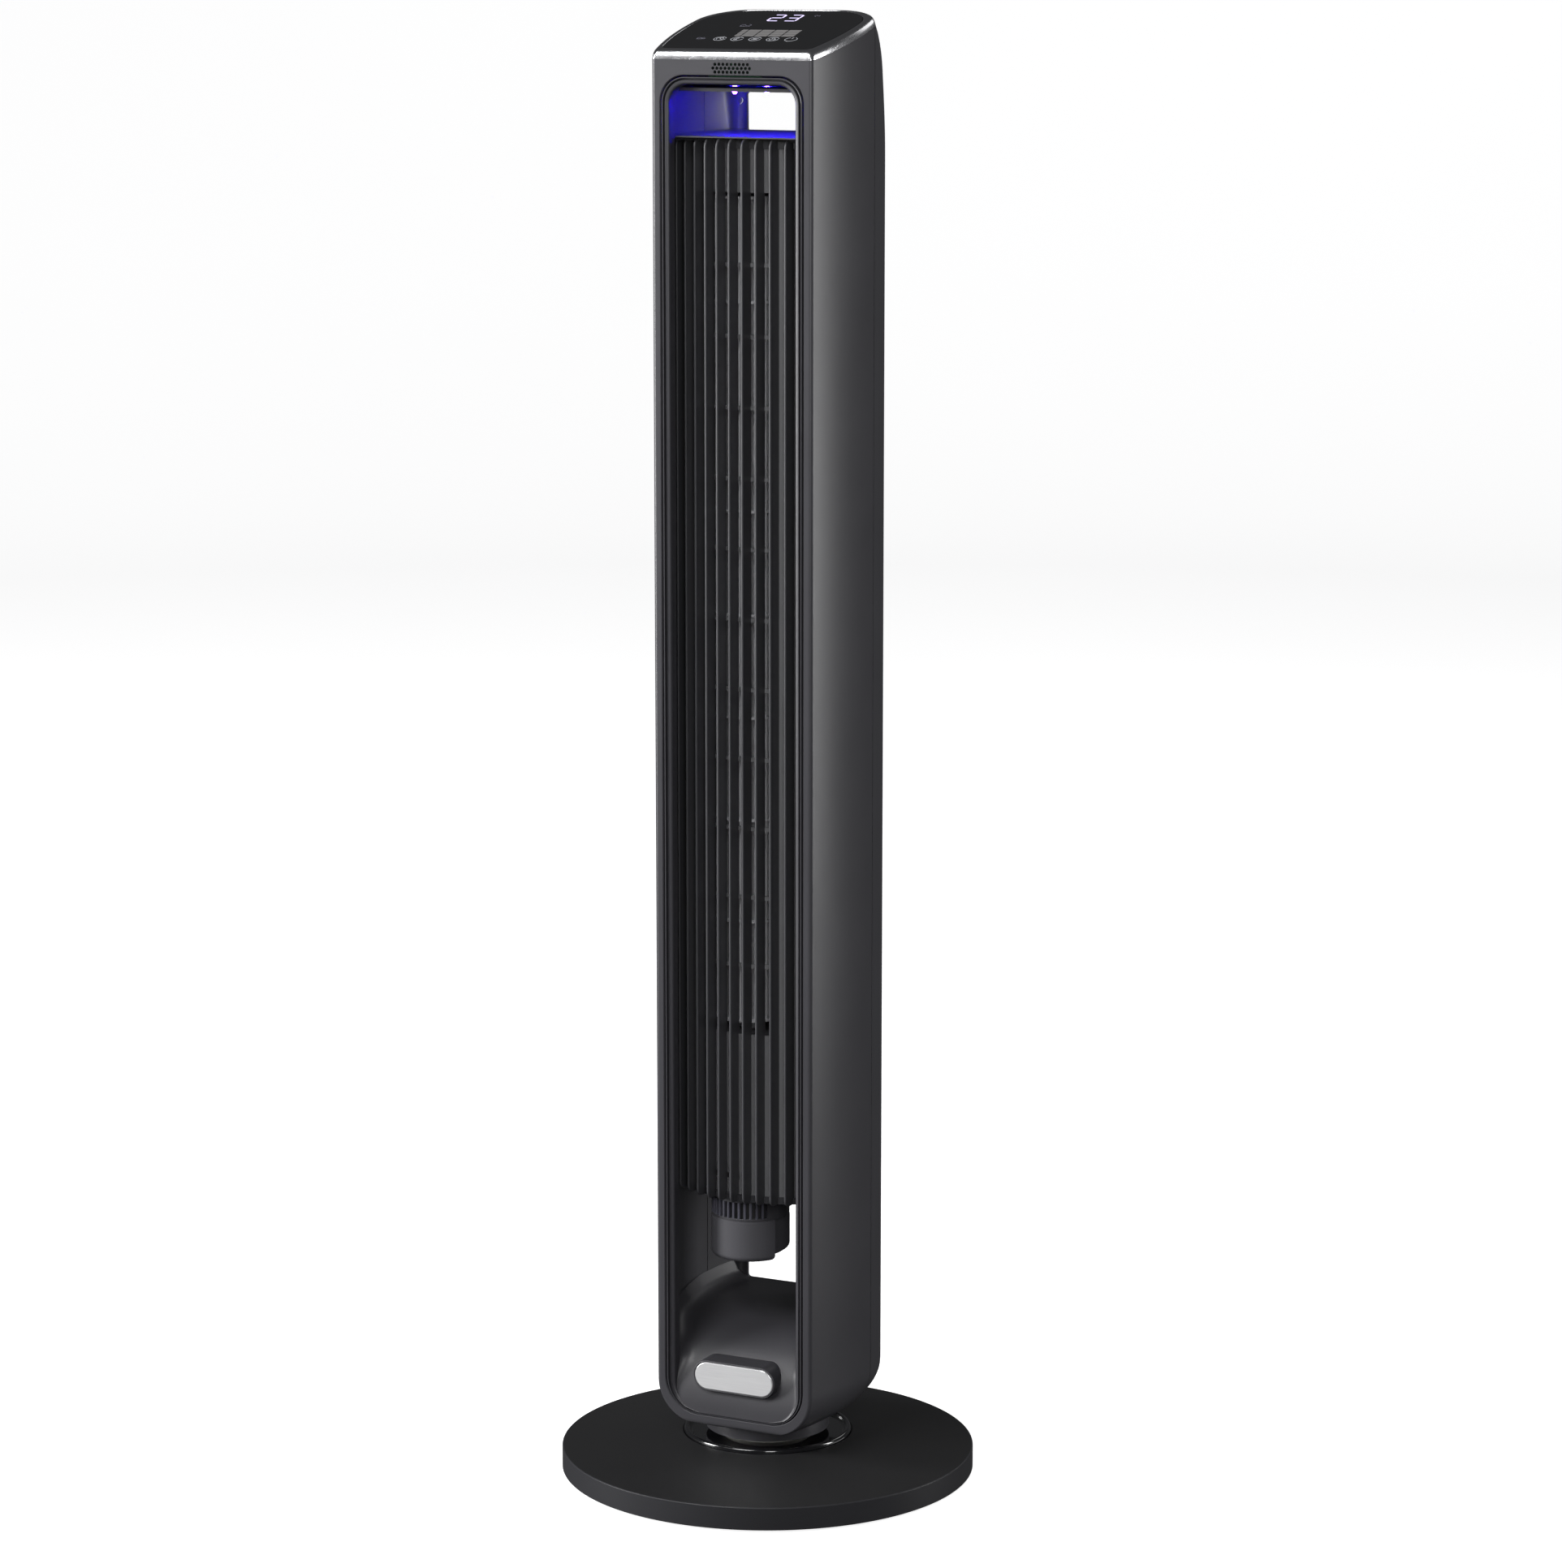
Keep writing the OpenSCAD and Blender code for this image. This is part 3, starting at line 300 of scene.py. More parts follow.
class Finish:
    """A material, built node by node round one Principled shader."""

    def __init__(self, name, **constants):
        self.material = bpy.data.materials.new(name)
        self.material.use_nodes = True
        self.tree = self.material.node_tree
        self.shader = self.tree.nodes["Principled BSDF"]
        for socket, value in constants.items():
            self.shader.inputs[socket.replace("_", " ")].default_value = value
        self.place = self.node("ShaderNodeTexCoord", out="Object")

    def node(self, kind, settings=None, inputs=None, out=0):
        """Adds one node, sets its settings first, then the values or links of its sockets."""
        made = self.tree.nodes.new(kind)
        for name, value in (settings or {}).items():
            if name == "stops":
                for stop, (at, grey) in zip(made.color_ramp.elements, value):
                    stop.position, stop.color = at, (grey, grey, grey, 1)
            else:
                setattr(made, name, value)
        for name, value in (inputs or {}).items():
            if isinstance(value, Tone):
                self.tree.links.new(value.socket, made.inputs[name])
            else:
                made.inputs[name].default_value = value
        return Tone(self, made.outputs[out])

    def feed(self, **tones):
        for socket, tone in tones.items():
            self.tree.links.new(tone.socket, self.shader.inputs[socket.replace("_", " ")])
        return self

    def stretched(self, scale):
        return self.node("ShaderNodeMapping", None, {"Vector": self.place, "Scale": scale})

    def noise(self, scale, detail=2.0, at=None):
        return self.node("ShaderNodeTexNoise", None,
                         {"Vector": at or self.place, "Scale": scale, "Detail": detail})

    def cells(self, scale):
        return self.node("ShaderNodeTexVoronoi", None, {"Vector": self.place, "Scale": scale})

    def axis(self, letter):
        return self.node("ShaderNodeSeparateXYZ", None, {"Vector": self.place}, letter)

    def ramp(self, value, *stops):
        return self.node("ShaderNodeValToRGB", {"stops": stops}, {"Fac": value})

    def mix(self, share, one, two):
        pair = [v if isinstance(v, Tone) else (*v, 1) for v in (one, two)]
        return self.node("ShaderNodeMix", {"data_type": "RGBA"}, {0: share, 6: pair[0], 7: pair[1]}, 2)

    def relief(self, height, depth):
        """Bump of a depth in millimetres."""
        bump = self.node("ShaderNodeBump", None, {"Height": height, "Distance": depth * MM, "Strength": 1.0})
        return self.feed(Normal=bump)


def shade(colour, by):
    return tuple(c * by for c in colour)


def moulded(name, colour, rough, grain=1400.0, depth=0.02, **constants):
    """Moulded plastic: a fine spark-eroded grain, and faint cloudiness from its flow in the mould."""
    f = Finish(name, **constants)
    cloud, grit = f.noise(14, 3), f.noise(grain, 2)
    f.feed(Base_Color=f.mix(cloud * 0.55 + grit * 0.45, shade(colour, 0.82), shade(colour, 1.18)),
           Roughness=cloud * 0.07 + grit * 0.08 + (rough - 0.075))
    return f.relief(grit + f.noise(grain * 0.37, 1) * 0.5, depth)


def metal(name, colour, rough, stretch=(1, 1, 1), scale=900.0, depth=0.004, **constants):
    """Bare metal with drawing or turning marks that run across the stretched direction."""
    f = Finish(name, Metallic=1.0, **constants)
    marks, cloud = f.noise(scale, 3, f.stretched(stretch)), f.noise(30, 2)
    f.feed(Base_Color=f.mix(marks * 0.6 + cloud * 0.4, shade(colour, 0.86), shade(colour, 1.1)),
           Roughness=marks * 0.12 + cloud * 0.08 + (rough - 0.1))
    return f.relief(marks, depth)


def lit(name, colour, strength, base=(0.02, 0.02, 0.03)):
    """A lit mark or lens, a little uneven across its face."""
    f = Finish(name, Roughness=0.3, Emission_Strength=strength)
    glow = f.noise(260, 1) * 0.5 + 0.5
    f.feed(Base_Color=f.mix(glow, shade(base, 0.8), base),
           Emission_Color=f.mix(glow, shade(colour, 0.75), colour))
    return f.material


CHARCOAL = (0.052, 0.051, 0.058)
shell_plastic = moulded("satin_charcoal", CHARCOAL, 0.37, Specular_IOR_Level=0.65).material
column_plastic = moulded("dark_charcoal", (0.050, 0.049, 0.055), 0.45).material
fin_plastic = moulded("fin_charcoal", (0.060, 0.060, 0.066), 0.38).material
ramp_plastic = moulded("ramp_charcoal", (0.044, 0.043, 0.049), 0.42).material
blade_plastic = moulded("blade_grey", (0.52, 0.52, 0.54), 0.4, 1800).material
rib_plastic = moulded("vent_rib_grey", (0.075, 0.074, 0.095), 0.4).material
wall_plastic = moulded("wall_grey", (0.25, 0.25, 0.26), 0.45).material
# The motor cup's plastic is a lighter copy of the charcoal: painted light, standing for the light that falls
# on the cup from the front left.
cup_plastic_painted_light = moulded("cup_charcoal", (0.088, 0.087, 0.097), 0.42).material
guard_plastic = moulded("guard_grey", (0.28, 0.28, 0.29), 0.4).material
acetal = moulded("pale_acetal", (0.70, 0.69, 0.64), 0.35, 1100, 0.01).material
collar_gloss = moulded("gloss_collar", (0.006, 0.006, 0.007), 0.14, 600, 0.001, Coat_Weight=1.0).material
nut_plastic = moulded("dark_parts", (0.020, 0.020, 0.022), 0.4).material

chrome = metal("chrome_plate", (0.86, 0.86, 0.88), 0.2, (1, 1, 1), 500, 0.0008).material
satin_steel = metal("satin_steel", (0.62, 0.62, 0.64), 0.3, (1, 1, 14), 700).material
bright_steel = metal("ground_steel", (0.70, 0.70, 0.71), 0.2, (1, 1, 12), 900).material
screw_steel = metal("screw_steel", (0.50, 0.50, 0.51), 0.3, (1, 1, 1), 1200).material
plate_steel = metal("zinc_plate", (0.42, 0.43, 0.44), 0.42, (6, 1, 1), 300).material
cast_alloy = metal("cast_alloy", (0.50, 0.51, 0.52), 0.5, (1, 1, 1), 500, 0.05).material
bronze = metal("sintered_bronze", (0.55, 0.36, 0.17), 0.48, (1, 1, 1), 1800, 0.02).material


def base_finish():
    """Dead matt on top, satin round the edge, where the colour is darker as painted shade."""
    f = Finish("base_black")
    top = f.axis("Z") > 0.0186
    grit, cloud = f.noise(1500, 2), f.noise(11, 3)
    tone = cloud * 0.5 + grit * 0.5
    # The side wall's colour is darker than the top's: painted shade on the side wall.
    f.feed(Base_Color=f.mix(top, f.mix(tone, (0.024, 0.024, 0.027), (0.036, 0.036, 0.040)),
                            f.mix(tone, (0.0095, 0.0095, 0.010), (0.015, 0.015, 0.016))),
           Roughness=top * 0.12 + grit * 0.08 + cloud * 0.05 + 0.33)
    return f.relief(grit, 0.025).material


def glass_finish():
    """Black printed glass, with the faint smears of fingers over the keys."""
    f = Finish("black_glass", IOR=1.5, Coat_Weight=0.6, Coat_Roughness=0.03)
    smear = f.ramp(f.noise(55, 4, f.stretched((1, 2.2, 1))), (0.5, 0.0), (0.8, 1.0))
    f.feed(Base_Color=f.mix(smear, (0.0022, 0.0022, 0.0026), (0.0042, 0.0042, 0.0048)),
           Roughness=smear * 0.06 + 0.045)
    return f.material


def plate_finish():
    """Brushed silver with a polished rim."""
    f = Finish("brushed_silver", Metallic=0.45)
    brush = f.noise(900, 3, f.stretched((0.04, 1, 1)))
    rim = f.axis("Y") > (span("nameplate")[0][1] + 0.03) * MM
    f.feed(Base_Color=f.mix(brush, (0.76, 0.76, 0.77), (0.88, 0.88, 0.89)),
           Roughness=(1 - rim) * 0.34 + brush * 0.08 + 0.08)
    return f.relief(brush * (1 - rim), 0.003).material


def rubber_finish():
    f = Finish("black_rubber", Specular_IOR_Level=0.35)
    dust = f.ramp(f.noise(120, 4), (0.55, 0.0), (0.85, 1.0))
    f.feed(Base_Color=f.mix(dust, (0.013, 0.013, 0.014), (0.035, 0.034, 0.033)), Roughness=dust * 0.12 + 0.72)
    return f.relief(f.noise(1600, 2), 0.03).material


def board_finish():
    """Green solder mask with copper tracks faintly raised under it."""
    f = Finish("circuit_board", Coat_Weight=0.3)
    track = f.ramp(f.node("ShaderNodeTexBrick", {"offset": 0.37}, {"Vector": f.place, "Scale": 160.0}, "Fac"),
                   (0.4, 0.0), (0.6, 1.0))
    f.feed(Base_Color=f.mix(track, (0.010, 0.085, 0.032), (0.020, 0.150, 0.055)), Roughness=track * 0.1 + 0.3)
    return f.relief(track, 0.03).material


def winding_finish():
    """Enamelled copper wire laid in turns."""
    f = Finish("copper_winding", Metallic=0.9)
    wire = f.node("ShaderNodeTexWave", {"bands_direction": "Z"},
                  {"Vector": f.place, "Scale": 900.0, "Distortion": 1.5})
    f.feed(Base_Color=f.mix(wire, (0.22, 0.07, 0.025), (0.62, 0.24, 0.09)), Roughness=wire * -0.15 + 0.42)
    return f.relief(wire, 0.2).material


def stack_finish():
    """Thin steel sheets stacked edge on, with a trace of rust bloom."""
    f = Finish("stacked_steel", Metallic=1.0)
    sheet = f.node("ShaderNodeTexWave", {"bands_direction": "Z"}, {"Vector": f.place, "Scale": 640.0})
    bloom = f.ramp(f.noise(70, 4), (0.55, 0.0), (0.8, 1.0))
    f.feed(Base_Color=f.mix(bloom, (0.36, 0.37, 0.39), (0.30, 0.22, 0.17)),
           Roughness=sheet * 0.2 + bloom * 0.15 + 0.32)
    return f.relief(sheet, 0.08).material


def iron_finish():
    f = Finish("cast_iron", Metallic=0.7)
    pit = f.cells(420)
    f.feed(Base_Color=f.mix(f.noise(40, 4), (0.10, 0.10, 0.105), (0.18, 0.175, 0.17)),
           Roughness=pit * 0.3 + 0.5)
    return f.relief(pit, 0.25).material


def foam_finish():
    """Open-cell filter foam."""
    f = Finish("filter_foam", Specular_IOR_Level=0.2)
    cell = f.ramp(f.cells(700), (0.15, 0.0), (0.65, 1.0))
    f.feed(Base_Color=f.mix(cell, (0.012, 0.012, 0.013), (0.085, 0.087, 0.09)), Roughness=cell * 0.1 + 0.82)
    return f.relief(cell, 0.6).material


base_black, black_glass, brushed_silver = base_finish(), glass_finish(), plate_finish()
black_rubber, circuit_board = rubber_finish(), board_finish()
copper_winding, stacked_steel = winding_finish(), stack_finish()
cast_iron, filter_foam = iron_finish(), foam_finish()
blue_lens = lit("blue_lens", (0.022, 0.006, 1.0), 1300.0)
digit_glow = lit("digit_glow", (0.74, 0.66, 1.0), 1.6)
key_glow = lit("key_glow", (0.72, 0.74, 0.80), 0.55, (0.3, 0.3, 0.32))
faint_glow = lit("faint_glow", (0.42, 0.40, 0.55), 0.22, (0.1, 0.1, 0.12))
# The pale print glows by emission: painted light on the printed blocks, not a lamp.
panel_print = lit("panel_print", (0.46, 0.44, 0.44), 0.26, (0.12, 0.12, 0.12))

# ---- Geometry Nodes: what repeats ------------------------------------------------------------


def input_socket(tree, name, kind, value=None):
    socket = tree.interface.new_socket(name, in_out="INPUT", socket_type=kind)
    if value is not None:
        socket.default_value = value
    return socket.identifier


class Layout:
    """A Geometry Nodes tree that sets copies of one part in place, with named inputs."""

    def __init__(self, name):
        self.tree = bpy.data.node_groups.new(name, "GeometryNodeTree")
        self.tree.interface.new_socket("Geometry", in_out="INPUT", socket_type="NodeSocketGeometry")
        self.tree.interface.new_socket("Geometry", in_out="OUTPUT", socket_type="NodeSocketGeometry")
        self.inputs = {"Part": input_socket(self.tree, "Part", "NodeSocketObject"),
                       "Finish": input_socket(self.tree, "Finish", "NodeSocketMaterial")}
        self.entry = self.tree.nodes.new("NodeGroupInput")

    def number(self, name, kind="NodeSocketFloat"):
        self.inputs[name] = input_socket(self.tree, name, kind)
        return self.entry.outputs[name]

    def node(self, kind, settings=None, inputs=None, out=0):
        made = self.tree.nodes.new(kind)
        for name, value in (settings or {}).items():
            setattr(made, name, value)
        for name, value in (inputs or {}).items():
            if isinstance(value, bpy.types.NodeSocket):
                self.tree.links.new(value, made.inputs[name])
            else:
                made.inputs[name].default_value = value
        return made.outputs[out]

    def maths(self, operation, *values):
        return self.node("ShaderNodeMath", {"operation": operation}, dict(enumerate(values)))

    def vector(self, x, y, z):
        return self.node("ShaderNodeCombineXYZ", None, {"X": x, "Y": y, "Z": z})

    def close(self, points, rotation=(0, 0, 0), scale=(1, 1, 1)):
        """Sets the part on every point, makes the copies real and gives them their finish."""
        part = self.node("GeometryNodeObjectInfo", None, {"Object": self.entry.outputs["Part"]}, "Geometry")
        copies = self.node("GeometryNodeInstanceOnPoints", None,
                           {"Points": points, "Instance": part, "Rotation": rotation, "Scale": scale})
        real = self.node("GeometryNodeRealizeInstances", None, {"Geometry": copies})
        done = self.node("GeometryNodeSetMaterial", None,
                         {"Geometry": real, "Material": self.entry.outputs["Finish"]})
        self.tree.links.new(done, self.tree.nodes.new("NodeGroupOutput").inputs[0])
        return self

    def lay(self, name, part, finish, **values):
        """One plain mesh of the part laid out with these inputs. The part itself is used up."""
        piece = bpy.data.objects.new(name, bpy.data.meshes.new(name))
        scene_objects.link(piece)
        layout = piece.modifiers.new("layout", "NODES")
        layout.node_group = self.tree
        for key, value in {"Part": part, "Finish": finish, **values}.items():
            layout[self.inputs[key]] = value
        settle(piece)
        bpy.data.objects.remove(part)
        return piece


def ring_layout():
    """Copies round a circle about an upright axis, each turned to face outwards."""
    t = Layout("set_round_a_ring")
    count, radius, start = t.number("Count", "NodeSocketInt"), t.number("Radius"), t.number("Start")
    x, y = t.number("Axis X"), t.number("Axis Y")
    line = t.node("GeometryNodeMeshLine", None, {"Count": count, "Offset": (0, 0, 0)}, "Mesh")
    turn = t.maths("ADD", t.maths("MULTIPLY", t.node("GeometryNodeInputIndex"),
                                  t.maths("DIVIDE", 2 * math.pi, count)), start)
    place = t.vector(t.maths("ADD", t.maths("MULTIPLY", t.maths("COSINE", turn), radius), x),
                     t.maths("ADD", t.maths("MULTIPLY", t.maths("SINE", turn), radius), y), 0.0)
    points = t.node("GeometryNodeSetPosition", None, {"Geometry": line, "Position": place})
    return t.close(points, rotation=t.vector(0.0, 0.0, turn))


def grid_layout():
    """Copies in rows and columns in an upright plane, the odd rows moved sideways by a share of the pitch."""
    t = Layout("set_in_rows")
    columns, rows = t.number("Columns", "NodeSocketInt"), t.number("Rows", "NodeSocketInt")
    pitch_x, pitch_z, stagger = t.number("Pitch X"), t.number("Pitch Z"), t.number("Stagger")
    line = t.node("GeometryNodeMeshLine", None,
                  {"Count": t.maths("MULTIPLY", columns, rows), "Offset": (0, 0, 0)}, "Mesh")
    index = t.node("GeometryNodeInputIndex")
    row = t.maths("FLOOR", t.maths("DIVIDE", t.maths("ADD", index, 0.5), columns))
    column = t.maths("SUBTRACT", index, t.maths("MULTIPLY", row, columns))

    def middle(number, count):
        return t.maths("SUBTRACT", number, t.maths("DIVIDE", t.maths("SUBTRACT", count, 1.0), 2.0))

    shift = t.maths("MULTIPLY", t.maths("MODULO", row, 2.0), stagger)
    place = t.vector(t.maths("MULTIPLY", t.maths("ADD", middle(column, columns), shift), pitch_x), 0.0,
                     t.maths("MULTIPLY", middle(row, rows), pitch_z))
    return t.close(t.node("GeometryNodeSetPosition", None, {"Geometry": line, "Position": place}))


def fin_layout():
    """Fins side by side, their free edges on one cylinder, each stretched back to the wall's cylinder."""
    t = Layout("set_fins_on_the_wall")
    count, pitch = t.number("Count", "NodeSocketInt"), t.number("Pitch")
    free_r, wall_r = t.number("Edge radius"), t.number("Wall radius")
    axis_y, depth = t.number("Axis Y"), t.number("Part depth")
    line = t.node("GeometryNodeMeshLine", None, {"Count": count, "Offset": (0, 0, 0)}, "Mesh")
    middle = t.maths("DIVIDE", t.maths("SUBTRACT", count, 1.0), 2.0)
    x = t.maths("MULTIPLY", t.maths("SUBTRACT", t.node("GeometryNodeInputIndex"), middle), pitch)

    def back_of(radius):
        squares = t.maths("MULTIPLY", radius, radius), t.maths("MULTIPLY", x, x)
        return t.maths("SQRT", t.maths("SUBTRACT", *squares))

    free_y = t.maths("SUBTRACT", axis_y, back_of(free_r))
    reach = t.maths("DIVIDE", t.maths("SUBTRACT", back_of(free_r), back_of(wall_r)), depth)
    points = t.node("GeometryNodeSetPosition", None,
                    {"Geometry": line, "Position": t.vector(x, free_y, 0.0)})
    return t.close(points, scale=t.vector(1.0, reach, 1.0))


round_ring, in_rows, fins_on_wall = ring_layout(), grid_layout(), fin_layout()

# ---- Tower shell -----------------------------------------------------------------------------


def roll(z, base, r):
    """How far a rolled lower edge of radius r draws the wall in at a height."""
    h = r - (z - base)
    return r - math.sqrt(max(r * r - h * h, 0)) if h > 0 else 0.0


def ease(v):
    v = min(max(v, 0.0), 1.0)
    return v * v * (3 - 2 * v)


def outline(front, rear, front_r, rear_r, draw):
    """Outline round the tower, from the middle of its front, anticlockwise from above."""
    s = SIDE_R - draw
    fy, ry = front + front_r, rear - rear_r
    fx = SIDE_CX + math.sqrt((s - front_r) ** 2 - (fy - BULGE_Y) ** 2)
    rx = SIDE_CX + math.sqrt((s - rear_r) ** 2 - (ry - BULGE_Y) ** 2)
    a0 = math.degrees(math.atan2(fy - BULGE_Y, fx - SIDE_CX))
    a1 = math.degrees(math.atan2(ry - BULGE_Y, rx - SIDE_CX))
    half = [(fx * i / 4, front) for i in range(4)] + arc(fx, fy, front_r, -90, a0, 6)
    half += arc(SIDE_CX, BULGE_Y, s, a0, a1, 24)[1:-1] + arc(rx, ry, rear_r, a1, 90, 12)
    half += [(rx * (1 - i / 4), rear) for i in range(1, 5)]
    return half + [(-x, y) for x, y in half[-2:0:-1]]


def plan(z, inset=0.0):
    """Outline of the tower at a height, moved in by a wall's thickness."""
    base = FOOT_Z + inset
    side = roll(z, base, SIDE_ROLL - inset)
    rear = REAR_Y - inset - roll(z, base, REAR_ROLL - inset)
    if z > LEAN_Z:
        rear = REAR_Y - LEAN_R + math.sqrt((LEAN_R - inset) ** 2 - (z - LEAN_Z) ** 2)
    rear_r = 13.4 + 19.6 * ease((z - LEAN_Z + 60) / 95) + 0.3 * side
    front = FRONT_Y + inset + roll(z, base, max(FRONT_ROLL - inset, 0.4))
    return outline(front, rear, max(FRONT_ROLL - inset, 0.5), rear_r - inset, inset + side)


def slope_z(y):
    return TOP_Z + (y - FRONT_Y) * TILT


def rims(inset):
    """Heights where the tower's wall meets the sloping top plane, round its outline."""
    found = []
    for i in range(len(plan(TOP_Z))):
        z = TOP_Z
        for _ in range(14):
            z = slope_z(plan(z, inset)[i][1])
        found.append(z)
    return found


def tower_rings(inset):
    """Outlines up the tower: round its rolled foot, up its walls, then leaning to the sloping top."""
    base = FOOT_Z + inset
    reach = SIDE_ROLL + 4 - inset
    heights = [base + reach * (1 - math.cos(math.pi / 2 * i / 14)) for i in range(15)]
    low_top = LEAN_Z - 70
    heights += list(np.linspace(heights[-1], low_top, 9)[1:])
    rings = [[(x, y, z) for x, y in plan(z, inset)] for z in heights]
    tops = rims(inset)
    for step in np.linspace(0, 1, 17)[1:]:
        rings.append([(*plan(low_top + (top - low_top) * step, inset)[i], low_top + (top - low_top) * step)
                      for i, top in enumerate(tops)])
    return rings


def tower_shell():
    outer, inner = tower_rings(0), tower_rings(WALL)
    return make("tower_shell", *skin(outer + inner[::-1]), finish=shell_plastic)


def pane(hw, z0, z1, r, y0, y1, n=5):
    shape = round_rect(hw, z0, z1, r, r, n)
    return along_y("pane", (y0, shape), (y1, shape))


def hole_y(x, z, r, y0, y1, n=24):
    ring = arc(x, z, r, 0, 360 * (n - 1) / n, n - 1)
    return along_y("hole", (y0, ring), (y1, ring))


REBATE = (FRAME_HALF_W + 0.2, FRAME_Z0 - 0.2, FRAME_Z1 + 0.2, 26.0, 18.5)
REAR_TOP_PANE = (49.0, COLUMN_Z1 - 1.3, CEILING_Z - 3.7)
REAR_LOW_PANE = (50.0, SILL_Z, COLUMN_Z0)
(_, GRILLE_Y0, INTAKE_Z0), (INTAKE_X1, _, INTAKE_Z1) = span("intake_grille")
(_, INLET_Y0, INLET_Z0), (_, INLET_Y1, INLET_Z1) = span("cord_inlet")
INLET_Z = (INLET_Z0 + INLET_Z1) / 2
REAR_HEAD_R = 2.9
(_, _, screws_z0), (_, _, screws_z1) = span("rear_screws")
REAR_SCREW_Z = np.linspace(screws_z0 + REAR_HEAD_R, screws_z1 - REAR_HEAD_R, 3)
HOLE_R, HOLE_PITCH, HOLE_ROW, HOLE_DROP = 1.15, 3.12, 2.65, 5.8

whole = tower_shell()
rear_shell = bpy.data.objects.new("rear_shell", whole.data.copy())
scene_objects.link(rear_shell)
front_shell = whole
front_shell.name = "front_shell"
SEAM_GAP = 0.4
carve(front_shell, block("behind", (-90, SEAM_Y - SEAM_GAP, 0), (90, 90, 1100)))
carve(rear_shell, block("ahead", (-90, -90, 0), (90, SEAM_Y + SEAM_GAP, 1100)))

rebate = round_rect(*REBATE, n=14)
CHAMFER = 0.7
flare = round_rect(REBATE[0] + CHAMFER, REBATE[1] - CHAMFER, *(v + CHAMFER for v in REBATE[2:]), n=14)
carve(front_shell, along_y("rebate", (FRONT_Y - 4, rebate), (FRONT_Y + 12, rebate)))
carve(front_shell, along_y("edge", (FRONT_Y - 0.1, flare), (FRONT_Y + CHAMFER, rebate)))


def sensor_holes():
    """The pattern of round holes ahead of the sensor: nine, ten and nine."""
    rows = []
    for columns, lines in ((10, 1), (9, 2)):
        drill = hole_y(0, 0, HOLE_R, FRONT_Y - 2, FRONT_Y + WALL + 2, 16)
        rows.append(in_rows.lay("holes", drill, shell_plastic, Columns=columns, Rows=lines,
                                **{"Pitch X": HOLE_PITCH * MM, "Pitch Z": 2 * HOLE_ROW * MM}))
    return move(joined("holes", *rows), z=TOP_Z - HOLE_DROP)


carve(front_shell, sensor_holes())
carve(rear_shell, pane(*REAR_TOP_PANE, 2.5, SEAM_Y + 4, 90), pane(*REAR_LOW_PANE, 2.5, SEAM_Y + 4, 90),
      pane(INTAKE_X1 + 0.2, INTAKE_Z0 - 0.2, INTAKE_Z1 + 0.2, 4, SEAM_Y + 4, 90),
      hole_y(0, INLET_Z, 6.0, REAR_Y - 12, REAR_Y + 5, 32))
HEAD_X, DIMPLE = 54.5, 1.9


def rear_face(z):
    """How far back the rear wall lies at a height, where the corner screws are."""
    ring = [(x, y) for x, y in plan(z) if x > 0 and y > BULGE_Y]
    return min((abs(x - HEAD_X), y) for x, y in ring)[1]


for x in (-HEAD_X, HEAD_X):
    for z in REAR_SCREW_Z:
        carve(rear_shell, hole_y(x, z, REAR_HEAD_R, rear_face(z) - DIMPLE, 90))
crisp(front_shell, 35)
crisp(rear_shell, 35)
fit(front_shell, "tower", "shell_plastic", "front_housing")
fit(rear_shell, "tower", "shell_plastic", "rear_cover")

# ---- Opening frame, ramp and nameplate -------------------------------------------------------


def frame_outline(d):
    """The front opening's outline, moved in by d. Its foot moves in less than its sides, its head more."""
    return round_rect(FRAME_HALF_W - d, FRAME_Z0 + 0.37 * d, FRAME_Z1 - 0.9 * d, 26 - d, 18.5 - 0.77 * d, 14)


def frame_band():
    """A flat outer band, a deep groove, then a lip that rounds into the opening."""
    profile = [(0.9, 4), (0.9, 0.35), (1.15, 0), (1.75, 0), (2.0, 0.3), (2.0, 3.6), (3.3, 3.6), (3.3, 0.35),
               (3.6, 0), (4.9, 0.1), (5.7, 0.45), (6.2, 1.0), (6.45, 1.8), (6.5, 3), (6.5, 9), (4.6, 9),
               (4.2, 4)]
    rings = []
    for d, depth in profile:
        on_lip = d > 3.3 and depth < 2
        ring = []
        for x, z in frame_outline(d):
            sink = 1.6 * (1 - ease((z - FRAME_Z0 - 28) / 18)) if on_lip else 0
            ring.append((x, FRONT_Y + depth + sink, z))
        rings.append(ring)
    return make("opening_band", *skin(rings, loop=True), finish=shell_plastic)


fit(crisp(frame_band(), 50), "tower", "shell_plastic", "opening_frame")

# The ramp's middle, as (height, depth).
RAMP_LINE = [(51.9, -54.5), (60, -53.3), (68, -51.2), (76, -48.0), (84, -43.6), (91, -38.2), (97.5, -31.8),
             (103, -24.6), (107.8, -16.4), (111.6, -7.2), (114.6, 3.6), (117.0, 19.0), (118.4, 40.0),
             (119.0, 66.8)]


